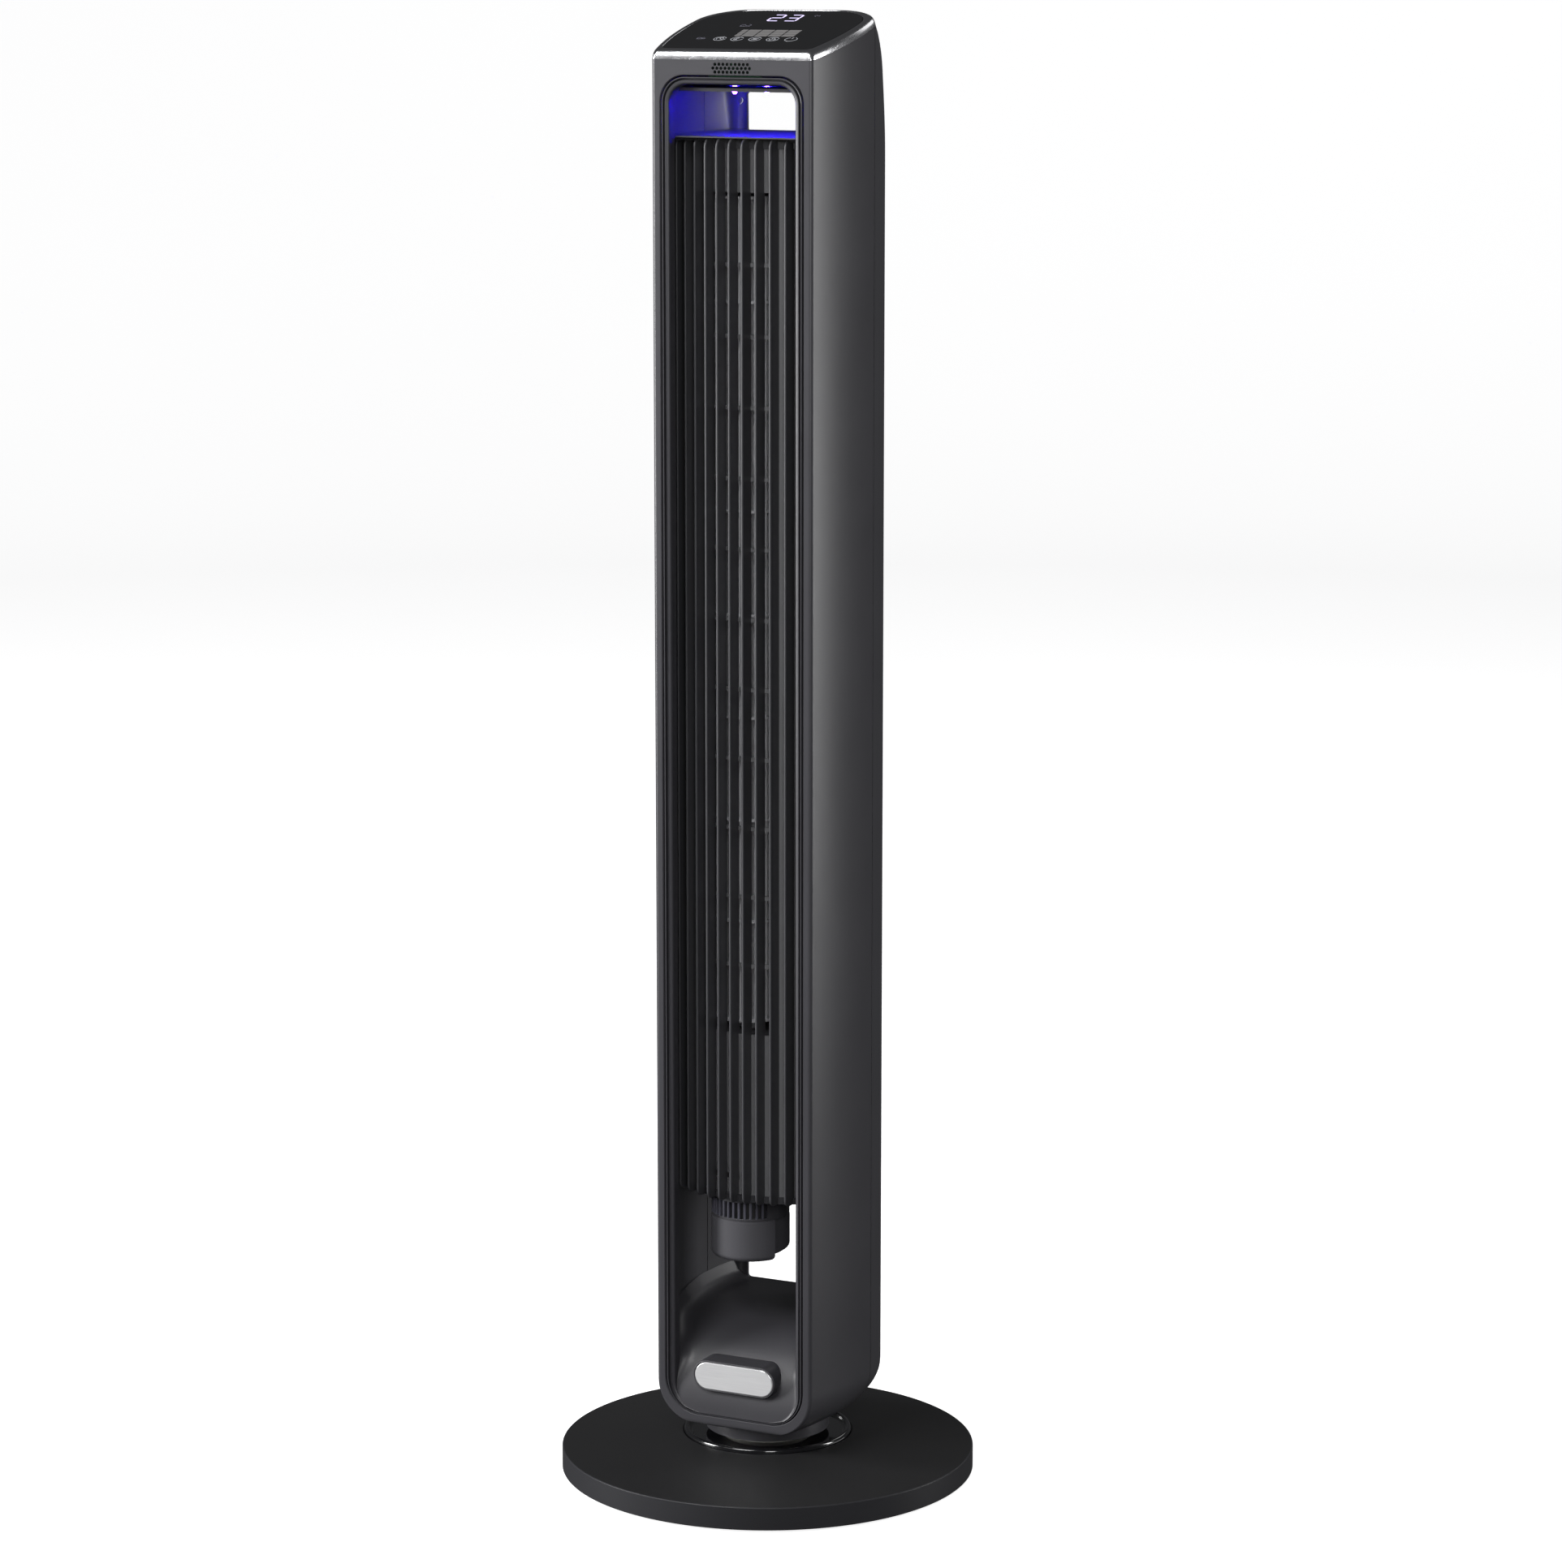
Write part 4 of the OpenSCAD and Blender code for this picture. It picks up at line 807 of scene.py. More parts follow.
def smooth_line(points, n):
    """Points evenly along a soft curve through the given ones."""
    p = np.array(points, float)
    t = np.concatenate([[0], np.cumsum(np.linalg.norm(np.diff(p, axis=0), axis=1))])
    d = np.zeros_like(p)
    d[1:-1] = (p[2:] - p[:-2]) / (t[2:] - t[:-2])[:, None]
    d[0], d[-1] = (p[1] - p[0]) / (t[1] - t[0]), (p[-1] - p[-2]) / (t[-1] - t[-2])
    out = []
    for s in np.linspace(0, t[-1], n):
        k = min(int(np.searchsorted(t, s, "right")) - 1, len(t) - 2)
        h = t[k + 1] - t[k]
        u = (s - t[k]) / h
        out.append((2 * u ** 3 - 3 * u ** 2 + 1) * p[k] + (u ** 3 - 2 * u ** 2 + u) * h * d[k]
                   + (3 * u ** 2 - 2 * u ** 3) * p[k + 1] + (u ** 3 - u ** 2) * h * d[k + 1])
    return np.array(out)


OPENING_HALF_W, OPENING_R, OPENING_CORNER_Z = 51.6, 22.5, 74.4
RAMP_REAR_HALF_W, RAMP_T, FILLET_R = 66.0, 2.2, 13.0


def lower_ramp():
    """The soft ramp behind the opening's foot, drawn up into fillets along both sides."""
    line = smooth_line([(y, z) for z, y in RAMP_LINE], 60)
    along = np.gradient(line, axis=0)
    along /= np.linalg.norm(along, axis=1)[:, None]
    across = 48
    top, under = [], []
    for (y, z), (dy, dz) in zip(line, along):
        ny, nz = -dz, dy
        groove = OPENING_HALF_W - roll(z, OPENING_CORNER_Z - OPENING_R, OPENING_R)
        back = ease((y + 44) / 34)
        half = groove + (RAMP_REAR_HALF_W - OPENING_HALF_W) * back if z > 74 else groove
        half = min(half, inner_half(y) - 0.3)
        room = y - (FRONT_Y + 0.7)
        r = max(min(FILLET_R, room * (1 - back) + FILLET_R * back), 0.05)
        row, low_row = [], []
        for k in range(across + 1):
            u = -1 + 2 * k / across
            x = half * math.copysign(abs(u) ** 0.8, u)
            d = abs(x) - (half - r)
            lift = r - math.sqrt(max(r * r - d * d, 0)) if d > 0 else 0.0
            row.append((x, y + ny * lift, z + nz * lift))
            low_row.append((x, y + ny * (lift - RAMP_T), z + nz * (lift - RAMP_T)))
        top.append(row)
        under.append(low_row)
    rings = [row + low[::-1] for row, low in zip(top, under)]
    return make("lower_ramp_skin", *skin(rings), finish=ramp_plastic)


def inner_half(y):
    return SIDE_CX + math.sqrt((SIDE_R - WALL) ** 2 - (y - BULGE_Y) ** 2)


PLATE_Z = (span("nameplate")[0][2] + span("nameplate")[1][2]) / 2
PLATE_HALF_W, PLATE_HALF_H = span("nameplate")[1][0], span("nameplate")[1][2] - PLATE_Z


def pill(name, grow, steps, finish):
    """A pill-shaped solid from (inset, y) steps."""
    sections = []
    for inset, y in steps:
        hw, hh = PLATE_HALF_W + grow - inset, PLATE_HALF_H + grow - inset
        sections.append((y, round_rect(hw, PLATE_Z - hh, PLATE_Z + hh, hh, hh, 20)))
    return along_y(name, *sections, finish=finish)


ramp = crisp(lower_ramp(), 60)
pad_steps = [(2.2, 0.9), (1.25, 0.75), (0.9, 0.45), (0.6, 0.45), (0.25, 0.7), (0, 1.4), (-0.3, 26)]
pad = crisp(pill("pad", 1.5, [(inset, FRONT_Y + y) for inset, y in pad_steps], ramp_plastic), 40)
fit(joined("lower_ramp_and_pad", ramp, pad), "tower", "shell_plastic", "lower_ramp")
plate_front = span("nameplate")[0][1]
plate_steps = [(0.15, 2.6), (0, 0.9), (0.15, 0.45), (0.5, 0.12), (0.9, 0)]
plate = pill("blank_nameplate", 0, [(inset, plate_front + y) for inset, y in plate_steps], brushed_silver)
fit(crisp(plate, 30), "tower", "satin_metal", "nameplate")

# ---- Column, fins and outlet -----------------------------------------------------------------


def wall_y(x, r):
    return COLUMN_CY - math.sqrt(r * r - x * x)


def wall_arc(r, x0, x1, n):
    return [(x0 + (x1 - x0) * i / n, wall_y(x0 + (x1 - x0) * i / n, r)) for i in range(n + 1)]


COLUMN_T = 2.2


def column_wall():
    """The column's curved front wall, with the outlet and three small slots low down."""
    hw = COLUMN_HALF_W
    outer = [(-hw, COLUMN_REAR)] + wall_arc(COLUMN_R, -hw, hw, 40) + [(hw, COLUMN_REAR)]
    within = hw - COLUMN_T
    inner = [(-within, COLUMN_REAR)] + wall_arc(COLUMN_R - COLUMN_T, -within, within, 40)
    inner.append((within, COLUMN_REAR))
    shape = outer + inner[::-1]
    wall = upright("column_wall", (COLUMN_Z0, shape), (WALL_Z1, shape), finish=wall_plastic)
    outlet = round_rect((OUTLET_X1 - OUTLET_X0) / 2 + 0.2, OUTLET_Z0 - 0.2, OUTLET_Z1 + 0.2, 2.0, 2.0, 3)
    middle = (OUTLET_X0 + OUTLET_X1) / 2
    outlet = [(x + middle, z) for x, z in outlet]
    carve(wall, along_y("outlet", (-60, outlet), (-6, outlet)))
    drill = block("slot", (-1.3, -60, COLUMN_Z0 + 15), (1.3, -5, COLUMN_Z0 + 19.6))
    slots = in_rows.lay("slots", drill, column_plastic, Columns=3, Rows=1, **{"Pitch X": 9 * MM})
    carve(wall, move(slots, x=-14))
    return crisp(wall, 30)


fit(column_wall(), "tower", "column_plastic", "air_column")

FIN_T, FIN_PITCH, FIN_COUNT, FIN_FREE_R, FIN_DEPTH = 1.8, 10.0, 12, COLUMN_R + 12, 13.0
FIN_TOP = COLUMN_Z1 - 1.5


def one_fin():
    """A fin with both free corners rounded and its free edge half round."""
    def side(inset):
        r = 6.0 - inset
        return (arc(inset + r, COLUMN_Z0 + inset + r, r, 270, 180, 7)
                + arc(inset + r, FIN_TOP - inset - r, r, 180, 90, 7)
                + [(FIN_DEPTH, FIN_TOP - inset), (FIN_DEPTH, COLUMN_Z0 + inset)])

    half = FIN_T / 2
    sections = [(-half, side(0.75)), (-half * 0.86, side(0.38)), (-half * 0.45, side(0.08)), (0, side(0.0)),
                (half * 0.45, side(0.08)), (half * 0.86, side(0.38)), (half, side(0.75))]
    return make("fin", *skin([[(x, y, z) for y, z in shape] for x, shape in sections]))


fins = fins_on_wall.lay("front_fin_row", one_fin(), fin_plastic, Count=FIN_COUNT, Pitch=FIN_PITCH * MM,
                        **{"Edge radius": FIN_FREE_R * MM, "Wall radius": (COLUMN_R - 1.0) * MM,
                           "Axis Y": COLUMN_CY * MM, "Part depth": FIN_DEPTH * MM})
fin_bands = []
for z0, z1 in ((COLUMN_Z0, COLUMN_Z0 + 5), (WALL_Z1 - 5, WALL_Z1)):
    hw = COLUMN_HALF_W - 1
    shape = wall_arc(COLUMN_R + 1.6, -hw, hw, 32) + wall_arc(COLUMN_R + 0.05, hw, -hw, 32)
    fin_bands.append(upright("fin_band", (z0, shape), (z1, shape), finish=fin_plastic))
fit(crisp(joined("fins_and_bands", fins, *fin_bands), 40), "tower", "fin_plastic", "front_fins")


def outlet_guard():
    """A thin curved frame in the outlet with level bars across it."""
    x0, x1 = OUTLET_X0, OUTLET_X1
    bars = 11
    pitch = (OUTLET_Z1 - OUTLET_Z0) / (bars + 1)
    front, back = COLUMN_R - 0.2, COLUMN_R - 2.0

    def slab(name, xa, xb, za, zb):
        shape = wall_arc(front, xa, xb, 12) + wall_arc(back, xb, xa, 12)
        return upright(name, (za, shape), (zb, shape), finish=guard_plastic)

    levels = [OUTLET_Z0 + i * pitch for i in range(1, bars + 1)]
    pieces = [slab("bar", x0, x1, z - 1.5, z + 1.5) for z in levels]
    pieces += [slab("post", xa, xa + 2.4, OUTLET_Z0, OUTLET_Z1) for xa in (x0, x1 - 2.4)]
    return crisp(joined("outlet_guard_bars", *pieces), 40)


fit(outlet_guard(), "tower", "fin_plastic", "outlet_guard")


def top_plate():
    """The plate over the column, with a rounded front edge."""
    rear, front = span("column_top_plate")[1][1], span("column_top_plate")[0][1]
    z0, z1 = WALL_Z1, COLUMN_Z1

    def shape(inset):
        return outline(front + inset, rear - inset, 2.0, 11.0, WALL + 0.2 + inset)

    steps = [(z0, 9), (z1 - 1.5, 9), (z1 - 1.3, 0.2), (z1 - 1.0, 0), (z1 - 0.4, 0.1), (z1, 0.6)]
    return upright("column_plate", *((z, shape(inset)) for z, inset in steps), finish=column_plastic)


fit(crisp(top_plate(), 40), "tower", "column_plastic", "column_top_plate")

# ---- Motor cover and vent ring ---------------------------------------------------------------

COVER_R, COVER_FLAT, COVER_LIP = 28.5, 24.9, 4.0


def motor_cover():
    """A round cup, low at its front and cut flat on its right."""
    def cup(r, z0, edge, z1):
        profile = [(0.0, z0)] + arc(r - edge, z0 + edge, edge, -90, 0, 6) + [(r, z1), (0.0, z1)]
        # The cup's lighter plastic is painted light from the front left.
        return make("cup", *turned(profile, 96, (BLOWER_X, BLOWER_Y)), finish=cup_plastic_painted_light)

    cup_front = cup(COVER_R, COVER_Z0, 4.0, COVER_Z1)
    carve(cup_front, block("rear", (-90, BLOWER_Y - 12, 0), (90, 90, 300)))
    cup_back = cup(COVER_R, COVER_Z0 + COVER_LIP, 4.0, COVER_Z1)
    carve(cup_back, block("front", (-90, -90, 0), (90, BLOWER_Y - 12, 300)),
          block("flat", (BLOWER_X + COVER_FLAT, -90, 0), (90, 90, 300)))
    cover = joined("motor_cup", cup_front, cup_back)
    ring = [(COVER_R + dr, COVER_Z1 + dz) for dr, dz in ((-0.5, -1.2), (2, -1.2), (2, 1), (-0.5, 1))]
    seam = make("seam", *turned(ring, 96, (BLOWER_X, BLOWER_Y)))
    carve(cover, seam)
    return crisp(cover, 35)


fit(motor_cover(), "tower", "shell_plastic", "motor_cover")


def vent_ring():
    """Two hoops joined by ribs, with a dark sleeve behind the slots as painted shade, and a solid right side.
    """
    at = (BLOWER_X, BLOWER_Y)
    r, z0, z1 = VENT_R, VENT_Z0, VENT_Z1
    hoops = []
    for a, b in ((z0, z0 + 1.8), (z1 - 2.4, z1)):
        profile = [(r - 2.4, a), (r - 0.3, a), (r, a + 0.3), (r, b - 0.3), (r - 0.3, b), (r - 2.4, b)]
        hoops.append(make("hoop", *turned(profile, 96, at), finish=column_plastic))
    section = [(-2.0, -0.95), (-0.5, -0.95), (-0.1, -0.55), (-0.1, 0.55), (-0.5, 0.95), (-2.0, 0.95)]
    rib = upright("rib", (z0 + 1.0, section), (z1 - 1.2, section))
    ribs = round_ring.lay("ribs", rib, rib_plastic, Count=40, Radius=r * MM, Start=0.0,
                          **{"Axis X": at[0] * MM, "Axis Y": at[1] * MM})
    # Dark sleeve just inside the ribs: painted shade seen through the slots.
    drum = make("drum", *turned([(r - 3.4, z0), (r - 2.6, z0), (r - 2.6, z1), (r - 3.4, z1)], 96, at),
                finish=nut_plastic)
    blind_arc = arc(*at, r + 0.05, -38, 100, 40) + arc(*at, r - 1.2, 100, -38, 40)
    blind = upright("blind", (z0 + 1.0, blind_arc), (z1 - 1.0, blind_arc), finish=column_plastic)
    return crisp(joined("vent_hoops_and_ribs", *hoops, ribs, drum, blind), 40)


fit(vent_ring(), "tower", "shell_plastic", "motor_vent_ring")

# ---- Top: trim, glass and lit marks ----------------------------------------------------------

GLASS_SET = 5.2


def glass_outline(inset):
    return outline(FRONT_Y + GLASS_SET + inset, 48.4 - inset, 6.0 - inset, 34.0 - inset, 5.7 + inset)


def on_slope(shape, lift):
    return [(x, y, slope_z(y) + lift) for x, y in shape]


def trim_ring():
    """Chromed ring: a steep outer face that rounds over to the glass."""
    foot = [(*plan(z)[i], z) for i, z in enumerate(rims(0))]
    rim = on_slope(glass_outline(0), TRIM_H)
    steps = [(0.0, 0.0), (0.012, 0.06), (0.03, 0.16), (0.08, 0.40), (0.15, 0.62), (0.26, 0.80), (0.42, 0.925),
             (0.62, 0.985), (0.84, 1.0), (0.96, 1.0), (1.0, 0.96), (1.03, 0.86)]
    rings = []
    for across, up in steps:
        ring = []
        for (x0, y0, _), (x1, y1, _) in zip(foot, rim):
            x, y = x0 + (x1 - x0) * across, y0 + (y1 - y0) * across
            ring.append((x, y, slope_z(y) + TRIM_H * up))
        rings.append(ring)
    inner = on_slope(glass_outline(0.05), 0.2)
    under = [(x0 + (x1 - x0) * 0.1, y0 + (y1 - y0) * 0.1, z0) for (x0, y0, z0), (x1, y1, _) in zip(foot, rim)]
    rings += [inner, under]
    return make("chrome_trim", *skin(rings, loop=True), finish=chrome)


fit(crisp(trim_ring(), 60), "tower", "chrome_trim", "trim_ring")


def glass_panel():
    """The black panel, a hair's gap inside the trim, with its edge eased."""
    steps = [(0.35, 2.2), (0.35, 0.5), (0.47, 0.22), (0.85, 0.1)]
    rings = [on_slope(glass_outline(gap), TRIM_H - below) for gap, below in steps]
    return make("touch_glass", *skin(rings), finish=black_glass)


fit(crisp(glass_panel(), 30), "tower", "black_glass", "glass_panel")

MARK_LIFT, MARK_SINK, MARK_T = TRIM_H - 0.1, 0.02, 0.06


def flat_mark(name, shapes, finish, lift=0.0):
    """Thin marks on the glass from closed outlines in X and Y."""
    levels = (MARK_LIFT + lift - MARK_SINK, MARK_LIFT + lift + MARK_T)
    marks = [make("mark", *skin([on_slope(s, z) for z in levels]), finish=finish, smooth=False)
             for s in shapes]
    return joined(name, *marks)


def hoop(cx, cy, r, width, a0, a1, n=40):
    """A ribbon bent round part of a circle."""
    return arc(cx, cy, r + width / 2, a0, a1, n) + arc(cx, cy, r - width / 2, a1, a0, n)


def stroke(x0, y0, x1, y1, width):
    """A straight ribbon between two places."""
    d = Vector((x1 - x0, y1 - y0)).normalized()
    nx, ny = -d.y * width / 2, d.x * width / 2
    return [(x0 + nx, y0 + ny), (x0 - nx, y0 - ny), (x1 - nx, y1 - ny), (x1 + nx, y1 + ny)]


def key_marks():
    """Five ring-shaped keys: timer, night, swing, speed and power."""
    w = 0.34
    y = -25.4
    shapes = []
    for i, x in enumerate((-23.6, -10.4, 3.4, 17.0, 31.0)):
        shapes.append(hoop(x, y, 4.4, w, 20, 355) if i < 4 else hoop(x, y, 4.4, w, 118, 422))
    shapes += [hoop(-23.6, y, 2.6, w, -60, 230, 20)]
    shapes += [stroke(-23.6, y, x, y + rise, w) for x, rise in ((-23.6, 1.9), (-22.3, -0.8))]
    shapes += [hoop(-10.4, y, 2.3, w, 60, 300, 20), hoop(-9.3, y, 1.9, w, 110, 250, 14)]
    shapes += [stroke(x0, y + rise, x1, y + rise, w)
               for x0, x1, rise in ((1.2, 5.6, 1.3), (1.2, 5.6, -1.3), (2.0, 4.8, 0))]
    for k in range(3):
        a = math.radians(90 + 120 * k)
        cx, cy = 17.0 + 1.5 * math.cos(a), y + 1.5 * math.sin(a)
        shapes.append(hoop(cx, cy, 1.1, w, 120 * k, 120 * k + 250, 14))
    shapes.append(stroke(31.0, y + 1.2, 31.0, y + 4.9, w))
    return flat_mark("key_marks", shapes, key_glow)


def faint_marks():
    w = 0.4
    shapes = [hoop(x, y, r, w, a, a + 260, 16) for x, y, r, a in
              ((-40.0, -24.6, 1.5, 0), (-36.6, -24.4, 1.5, 90), (-22.5, 8.6, 1.9, 40), (-18.6, 9.0, 1.9, 200),
               (21.6, 34.4, 1.2, 10))]
    shapes += [stroke(*line, w) for line in
               ((-41.5, -26.5, -35.2, -26.2), (-24.4, 6.4, -16.6, 6.8), (24.0, 33.4, 24.0, 35.8))]
    return flat_mark("faint_marks", shapes, faint_glow)


def panel_blocks():
    """A grid of pale printed blocks that glow as painted light: three rows of four, with a narrower one at
    the left of each.
    """
    shapes = []
    for row in range(3):
        y0 = -18.6 + 5.7 * row
        for col in range(5):
            width = 9.3 if col else 4.3
            x0 = -16.2 + (10.3 * (col - 1) + 5.2 if col else 0) - 0.4 * row
            shapes.append(round_box(x0, y0, x0 + width, y0 + 4.9, 0.4))
    return flat_mark("panel_blocks", shapes, panel_print)


def round_box(x0, y0, x1, y1, r):
    return (arc(x1 - r, y0 + r, r, -90, 0, 3) + arc(x1 - r, y1 - r, r, 0, 90, 3)
            + arc(x0 + r, y1 - r, r, 90, 180, 3) + arc(x0 + r, y0 + r, r, 180, 270, 3))


SEGMENTS = {"2": "abged", "3": "abgcd"}


def digits():
    """Two seven-bar figures that show a temperature."""
    shapes = []
    w, h, t = 8.4, 15.0, 1.1
    places = {"a": (0, h, w, h), "g": (0, h / 2, w, h / 2), "d": (0, 0, w, 0),
              "b": (w, h / 2, w, h), "c": (w, 0, w, h / 2), "e": (0, 0, 0, h / 2), "f": (0, h / 2, 0, h)}
    for figure, x in (("2", -10.4), ("3", 3.0)):
        for name in SEGMENTS[figure]:
            x0, y0, x1, y1 = places[name]
            d = Vector((x1 - x0, y1 - y0)).normalized() * 0.75
            x0, y0, x1, y1 = x0 + d.x, y0 + d.y, x1 - d.x, y1 - d.y
            ends = stroke(x + x0, 20.8 + y0, x + x1, 20.8 + y1, t)
            shapes.append([ends[0], (x + x0 - d.x * 0.6, 20.8 + y0 - d.y * 0.6), ends[1], ends[2],
                           (x + x1 + d.x * 0.6, 20.8 + y1 + d.y * 0.6), ends[3]])
    return flat_mark("digit_bars", shapes, digit_glow, lift=0.06)


for mark in (key_marks(), faint_marks(), panel_blocks(), digits()):
    fit(mark, "tower", "led_lens")

# ---- Base, collar, foot and feet -------------------------------------------------------------

BASE_R = span("base_plate")[1][0] + 2.8
(_, _, COLLAR_Z0), (COLLAR_R, _, COLLAR_Z1) = span("collar_ring")
BASE_EDGE_Z, CROWN_Z = 18.6, span("base_cover")[1][2]
FOOT_T = span("base_feet")[1][2]


def base_cover():
    cone = (CROWN_Z - BASE_EDGE_Z) / (BASE_R - 1 - COLLAR_R - 0.2)
    profile = [(BASE_R - 2.6, FOOT_T), (BASE_R - 0.5, FOOT_T), (BASE_R, FOOT_T + 0.5)]
    profile += [(BASE_R - inset, BASE_EDGE_Z - drop) for inset, drop in
                ((0, 0.9), (0.12, 0.45), (0.45, 0.12), (1.0, 0))]
    profile += [(r, BASE_EDGE_Z + (BASE_R - 1 - r) * cone) for r in np.linspace(BASE_R - 8, COLLAR_R + 2, 8)]
    profile += [(r, CROWN_Z - drop) for r, drop in
                ((COLLAR_R + 0.9, 0.15), (COLLAR_R + 0.3, 0.7), (COLLAR_R + 0.2, 2), (18.0, 2), (18.0, 4.6),
                 (COLLAR_R + 2.8, 4.6))]
    profile.append((BASE_R - 2.6, BASE_EDGE_Z - 2.6))
    return make("base_shell", *turned(profile, 224), finish=base_black)


fit(crisp(base_cover(), 30), "base", "base_plastic", "base_cover")


def collar():
    """A gloss ring: a round bead, a step inside it, and a low dish to the middle."""
    r = COLLAR_R
    profile = [(34.0, COLLAR_Z0), (r, COLLAR_Z0), (r, COLLAR_Z1 - 2.4), (r - 0.25, COLLAR_Z1 - 2.2)]
    profile += arc(r - 2.05, COLLAR_Z1 - 1.75, 1.75, 5, 175, 12)
    profile += [(r - inset, COLLAR_Z1 - drop) for inset, drop in
                ((4.2, 2.6), (4.6, 2.7), (5.2, 2.45), (5.8, 2.7))]
    profile += [(r - 6.3, COLLAR_Z0 + 1.9), (34.0, COLLAR_Z0 + 1.8)]
    return make("gloss_collar_ring", *turned(profile, 160), finish=collar_gloss)


fit(crisp(collar(), 30), "base", "gloss_black", "collar_ring")

DISC_Z, DISC_R = span("foot_disc")[0][2], span("foot_disc")[1][0]
HUB_Z = span("foot_disc")[1][2]


def foot_disc():
    profile = [(17.05, DISC_Z), (DISC_R - 1.2, DISC_Z), (DISC_R - 0.3, DISC_Z + 0.35), (DISC_R, DISC_Z + 1.2),
               (DISC_R, FOOT_Z - 0.1), (22.0, FOOT_Z - 0.1), (22.0, HUB_Z), (20.1, HUB_Z), (17.05, HUB_Z)]
    return make("foot_turntable", *turned(profile, 128), finish=shell_plastic)


fit(crisp(foot_disc(), 30), "tower", "shell_plastic", "foot_disc")

foot = make("foot", *turned([(0.01, 0), (7.6, 0), (8.5, 0.4), (9.0, 1.2), (9.0, FOOT_T), (0.01, FOOT_T)], 48))
feet = round_ring.lay("rubber_feet", foot, black_rubber, Count=6, Radius=0.124, Start=0.0)
fit(crisp(feet, 30), "base", "black_rubber", "base_feet")


def cross_head(name, z, up, r=2.9, h=1.4):
    """A screw head with a rounded top and a cross recess, its flat side at a height."""
    steps = [(0.01, 0), (r, 0), (r, h * 0.45), (r * 0.86, h * 0.8), (r * 0.5, h), (0.01, h)]
    head = make(name, *turned([(q, z + up * rise) for q, rise in steps], 32))
    low, high = sorted((z + up * 0.5, z + up * 3))
    for w, l in ((0.5, 1.7), (1.7, 0.5)):
        carve(head, block("slot", (-w, -l, low), (w, l, high)))
    return head


PLATE_Z0 = span("base_plate")[0][2]
heads = round_ring.lay("base_screw_heads", cross_head("head", PLATE_Z0, -1), screw_steel, Count=6,
                       Radius=0.138, Start=math.radians(30))
fit(crisp(heads, 30), "base", "screw_steel", "base_screws")

# ---- Rear: intake, screws and inlet ----------------------------------------------------------


def intake_grille():
    """A frame with upright slats, and level ties across them."""
    y0, y1 = GRILLE_Y0, REAR_Y
    hw, z0, z1 = INTAKE_X1, INTAKE_Z0, INTAKE_Z1
    outer, hole = round_rect(hw, z0, z1, 3.8, 3.8, 6), round_rect(hw - 3.6, z0 + 5, z1 - 5, 2, 2, 6)
    border = along_y("border", (y1, outer), (y0, outer), finish=column_plastic)
    carve(border, along_y("gap", (y0 - 2, hole), (y1 + 2, hole)))
    section = [(-1.0, y1 - 0.3), (-0.7, y1), (0.7, y1), (1.0, y1 - 0.3), (0.8, y0), (-0.8, y0)]
    slat = upright("slat", (z0 + 4, section), (z1 - 4, section))
    slats = in_rows.lay("slats", slat, column_plastic, Columns=18, Rows=1, **{"Pitch X": 4.5 * MM})
    tie = block("tie", (-hw + 3, y0, -1.6), (hw - 3, y1 - 0.4, 1.6))
    ties = in_rows.lay("ties", tie, column_plastic, Columns=1, Rows=8, **{"Pitch Z": (z1 - z0) / 9 * MM})
    move(ties, z=(z0 + z1) / 2)
    return crisp(joined("intake_slats", border, slats, ties), 35)


fit(intake_grille(), "tower", "column_plastic", "intake_grille")


def cord_inlet():
    """A soft flanged sleeve where the mains lead would go in."""
    profile = [(3.6, INLET_Y0), (5.95, INLET_Y0), (5.95, REAR_Y), (8.3, REAR_Y), (8.35, REAR_Y + 0.7),
               (7.7, REAR_Y + 1.4), (6.6, INLET_Y1 - 0.05), (4.6, INLET_Y1), (3.85, INLET_Y1 - 0.3),
               (3.6, INLET_Y1 - 0.8)]
    rings = []
    for i in range(48):
        c, s = math.cos(2 * math.pi * i / 48), math.sin(2 * math.pi * i / 48)
        rings.append([(r * c, y, INLET_Z + r * s) for r, y in profile])
    return make("inlet_sleeve", *skin(rings, loop=True), finish=black_rubber)


fit(crisp(cord_inlet(), 30), "tower", "black_rubber", "cord_inlet")


def rear_screw_heads():
    """Cross-headed screws, sunk in the rear cover's corners."""
    rows = []
    for z in REAR_SCREW_Z:
        head = cross_head("head", 0, 1, 2.7, 1.2)
        head.data.transform(Matrix.Rotation(math.radians(-90), 4, "X"))
        row = in_rows.lay("row", head, screw_steel, Columns=2, Rows=1, **{"Pitch X": 2 * HEAD_X * MM})
        rows.append(move(row, y=rear_face(z) - DIMPLE, z=z))
    return joined("rear_screw_heads", *rows)


fit(crisp(rear_screw_heads(), 30), "tower", "screw_steel", "rear_screws")

# ---- Lenses ----------------------------------------------------------------------------------

LENS_Z = span("led_lenses")[0][2]


def led_lenses():
    steps = [(0.01, -0.9), (0.8, -0.75), (1.4, -0.2), (1.6, 0.6)]
    seat = CEILING_Z + 2.4
    lens = make("lens", *turned([(r, LENS_Z + rise) for r, rise in steps] + [(1.6, seat), (0.01, seat)], 32))
    return in_rows.lay("blue_lenses", lens, blue_lens, Columns=3, Rows=1, **{"Pitch X": 25 * MM})


fit(crisp(led_lenses(), 40), "tower", "led_lens", "led_lenses")

# ---- CAD nodes that keep their shape, in their own finishes ----------------------------------

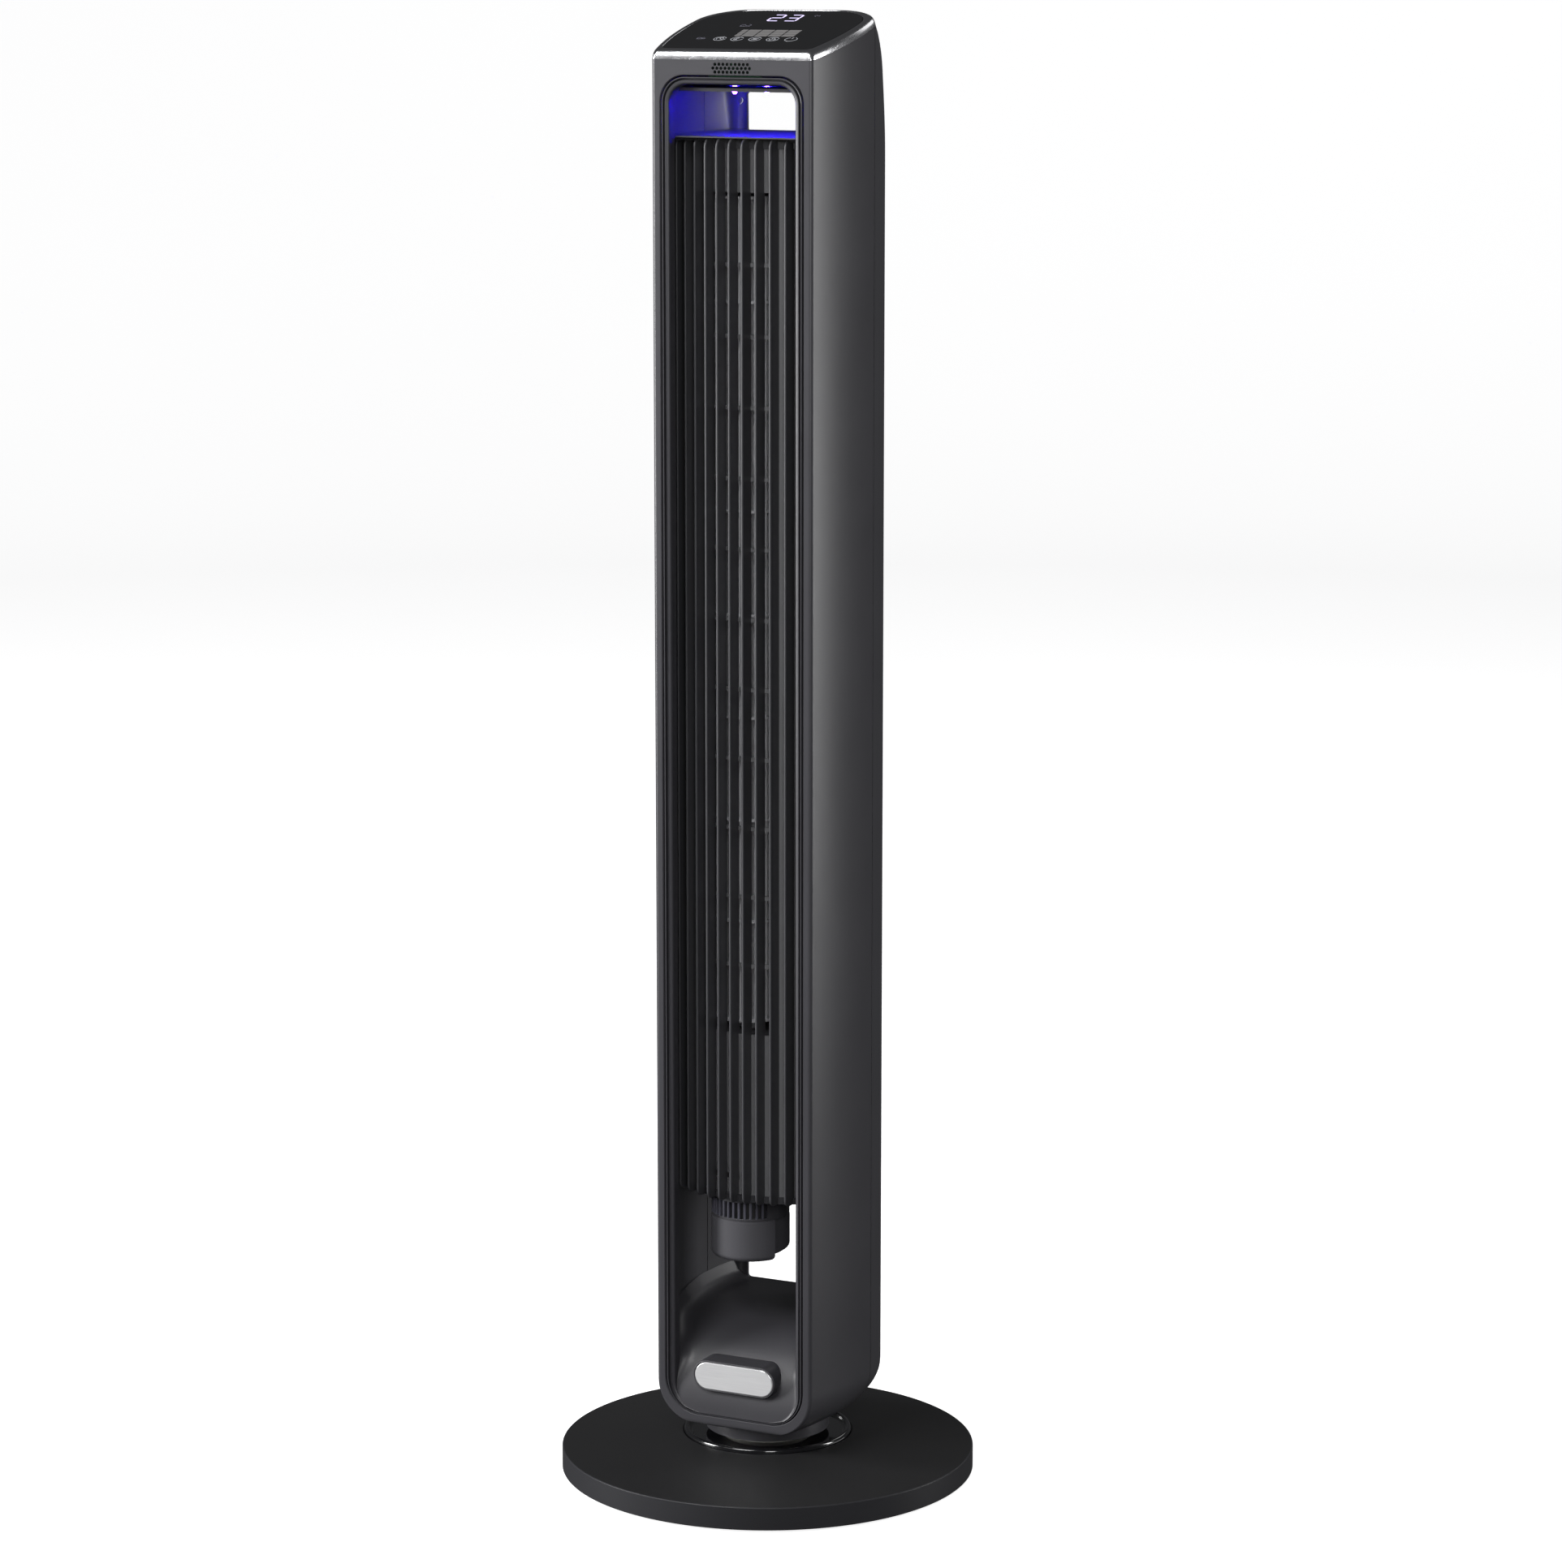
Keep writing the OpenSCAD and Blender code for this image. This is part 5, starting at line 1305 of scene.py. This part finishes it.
KEPT = {
    black_rubber: ["buzzer"],
    column_plastic: ["column_floor", "scroll_casing", "ceiling_panel", "motor_mount"],
    nut_plastic: ["display_module", "bearing_holder"],
    blade_plastic: ["impeller"],
    acetal: ["glide_ring", "swing_gear", "swing_pinion", "foot_bushing"],
    plate_steel: ["base_plate"],
    cast_iron: ["base_weight"],
    cast_alloy: ["pivot_post", "motor_lower_bell", "motor_upper_bell"],
    screw_steel: ["post_screws", "foot_screws", "motor_screws", "swing_motor_screws", "post_nut"],
    bright_steel: ["thrust_washer", "motor_bearings", "motor_shaft", "impeller_pin", "pinion_shaft",
                   "touch_springs"],
    satin_steel: ["swing_motor"],
    bronze: ["top_bushing"],
    stacked_steel: ["motor_stator", "motor_rotor"],
    copper_winding: ["motor_coils"],
    circuit_board: ["led_board", "sensor_board", "control_board", "power_board"],
    filter_foam: ["filter_mesh"],
}
for finish, names in KEPT.items():
    for name in names:
        piece = frame["nodes"][name]
        for i in range(max(len(piece.material_slots), 1)):
            if piece.material_slots:
                piece.material_slots[i].material = finish
            else:
                piece.data.materials.append(finish)

# ---- Stage and lights ------------------------------------------------------------------------


def studio_floor():
    """A pale floor that sweeps up into a wall all round."""
    profile = [(0.02, 0.0), (5.0, 0.0)] + [(5.0 + 2.5 * math.sin(a), 2.5 - 2.5 * math.cos(a))
                                           for a in np.linspace(0, math.pi / 2, 24)[1:]] + [(7.5, 9.0)]
    rings = [[(x, y, z / MM) for x, y in arc(0, 0, r / MM, 0, 355, 71)] for r, z in profile]
    f = Finish("pale_sweep", Roughness=0.9, Specular_IOR_Level=0.1, Emission_Strength=0.82)
    f.feed(Base_Color=f.mix(f.noise(3, 2), (0.90, 0.90, 0.90), (0.93, 0.93, 0.93)))
    f.shader.inputs["Emission Color"].default_value = (1, 1, 1, 1)
    return make("pale_sweep", *skin(rings, closed=False), finish=f.material)


floor = studio_floor()
floor.visible_glossy = False
floor.visible_diffuse = False
floor.visible_shadow = False


def soft_light(name, place, aim, size, power):
    """A rectangular lamp, its size in metres, turned to face a place."""
    lamp = bpy.data.lights.new(name, "AREA")
    lamp.shape, lamp.size, lamp.size_y = "RECTANGLE", size[0], size[1]
    lamp.energy = power
    thing = bpy.data.objects.new(name, lamp)
    thing.location = place
    thing.rotation_euler = (Vector(aim) - Vector(place)).to_track_quat("-Z", "Y").to_euler()
    scene_objects.link(thing)


soft_light("key", (-2.8, -1.6, 1.1), (0, 0, 0.6), (1.0, 2.0), 120)
soft_light("front_card", (-1.45, -2.9, 2.7), (0, 0, 0.9), (2.0, 1.0), 9)
soft_light("overhead", (-0.6, -2.0, 2.5), (0, 0, 0.1), (1.2, 1.0), 42)
soft_light("fill", (1.75, -3.0, 1.6), (0, 0, 0.6), (0.8, 1.6), 34)
soft_light("rim", (2.75, 1.5, 0.8), (0, 0, 0.6), (0.5, 2.1), 34)
soft_light("back_card", (0.9, 3.3, 2.3), (0, 0, 0.9), (1.8, 1.2), 8)

world = bpy.context.scene.world or bpy.data.worlds.new("studio")
bpy.context.scene.world = world
world.use_nodes = True
sky = world.node_tree.nodes["Background"]
sky.inputs["Color"].default_value = (0.95, 0.96, 1.0, 1)
sky.inputs["Strength"].default_value = 0.05
bpy.context.scene.view_settings.view_transform = "Standard"
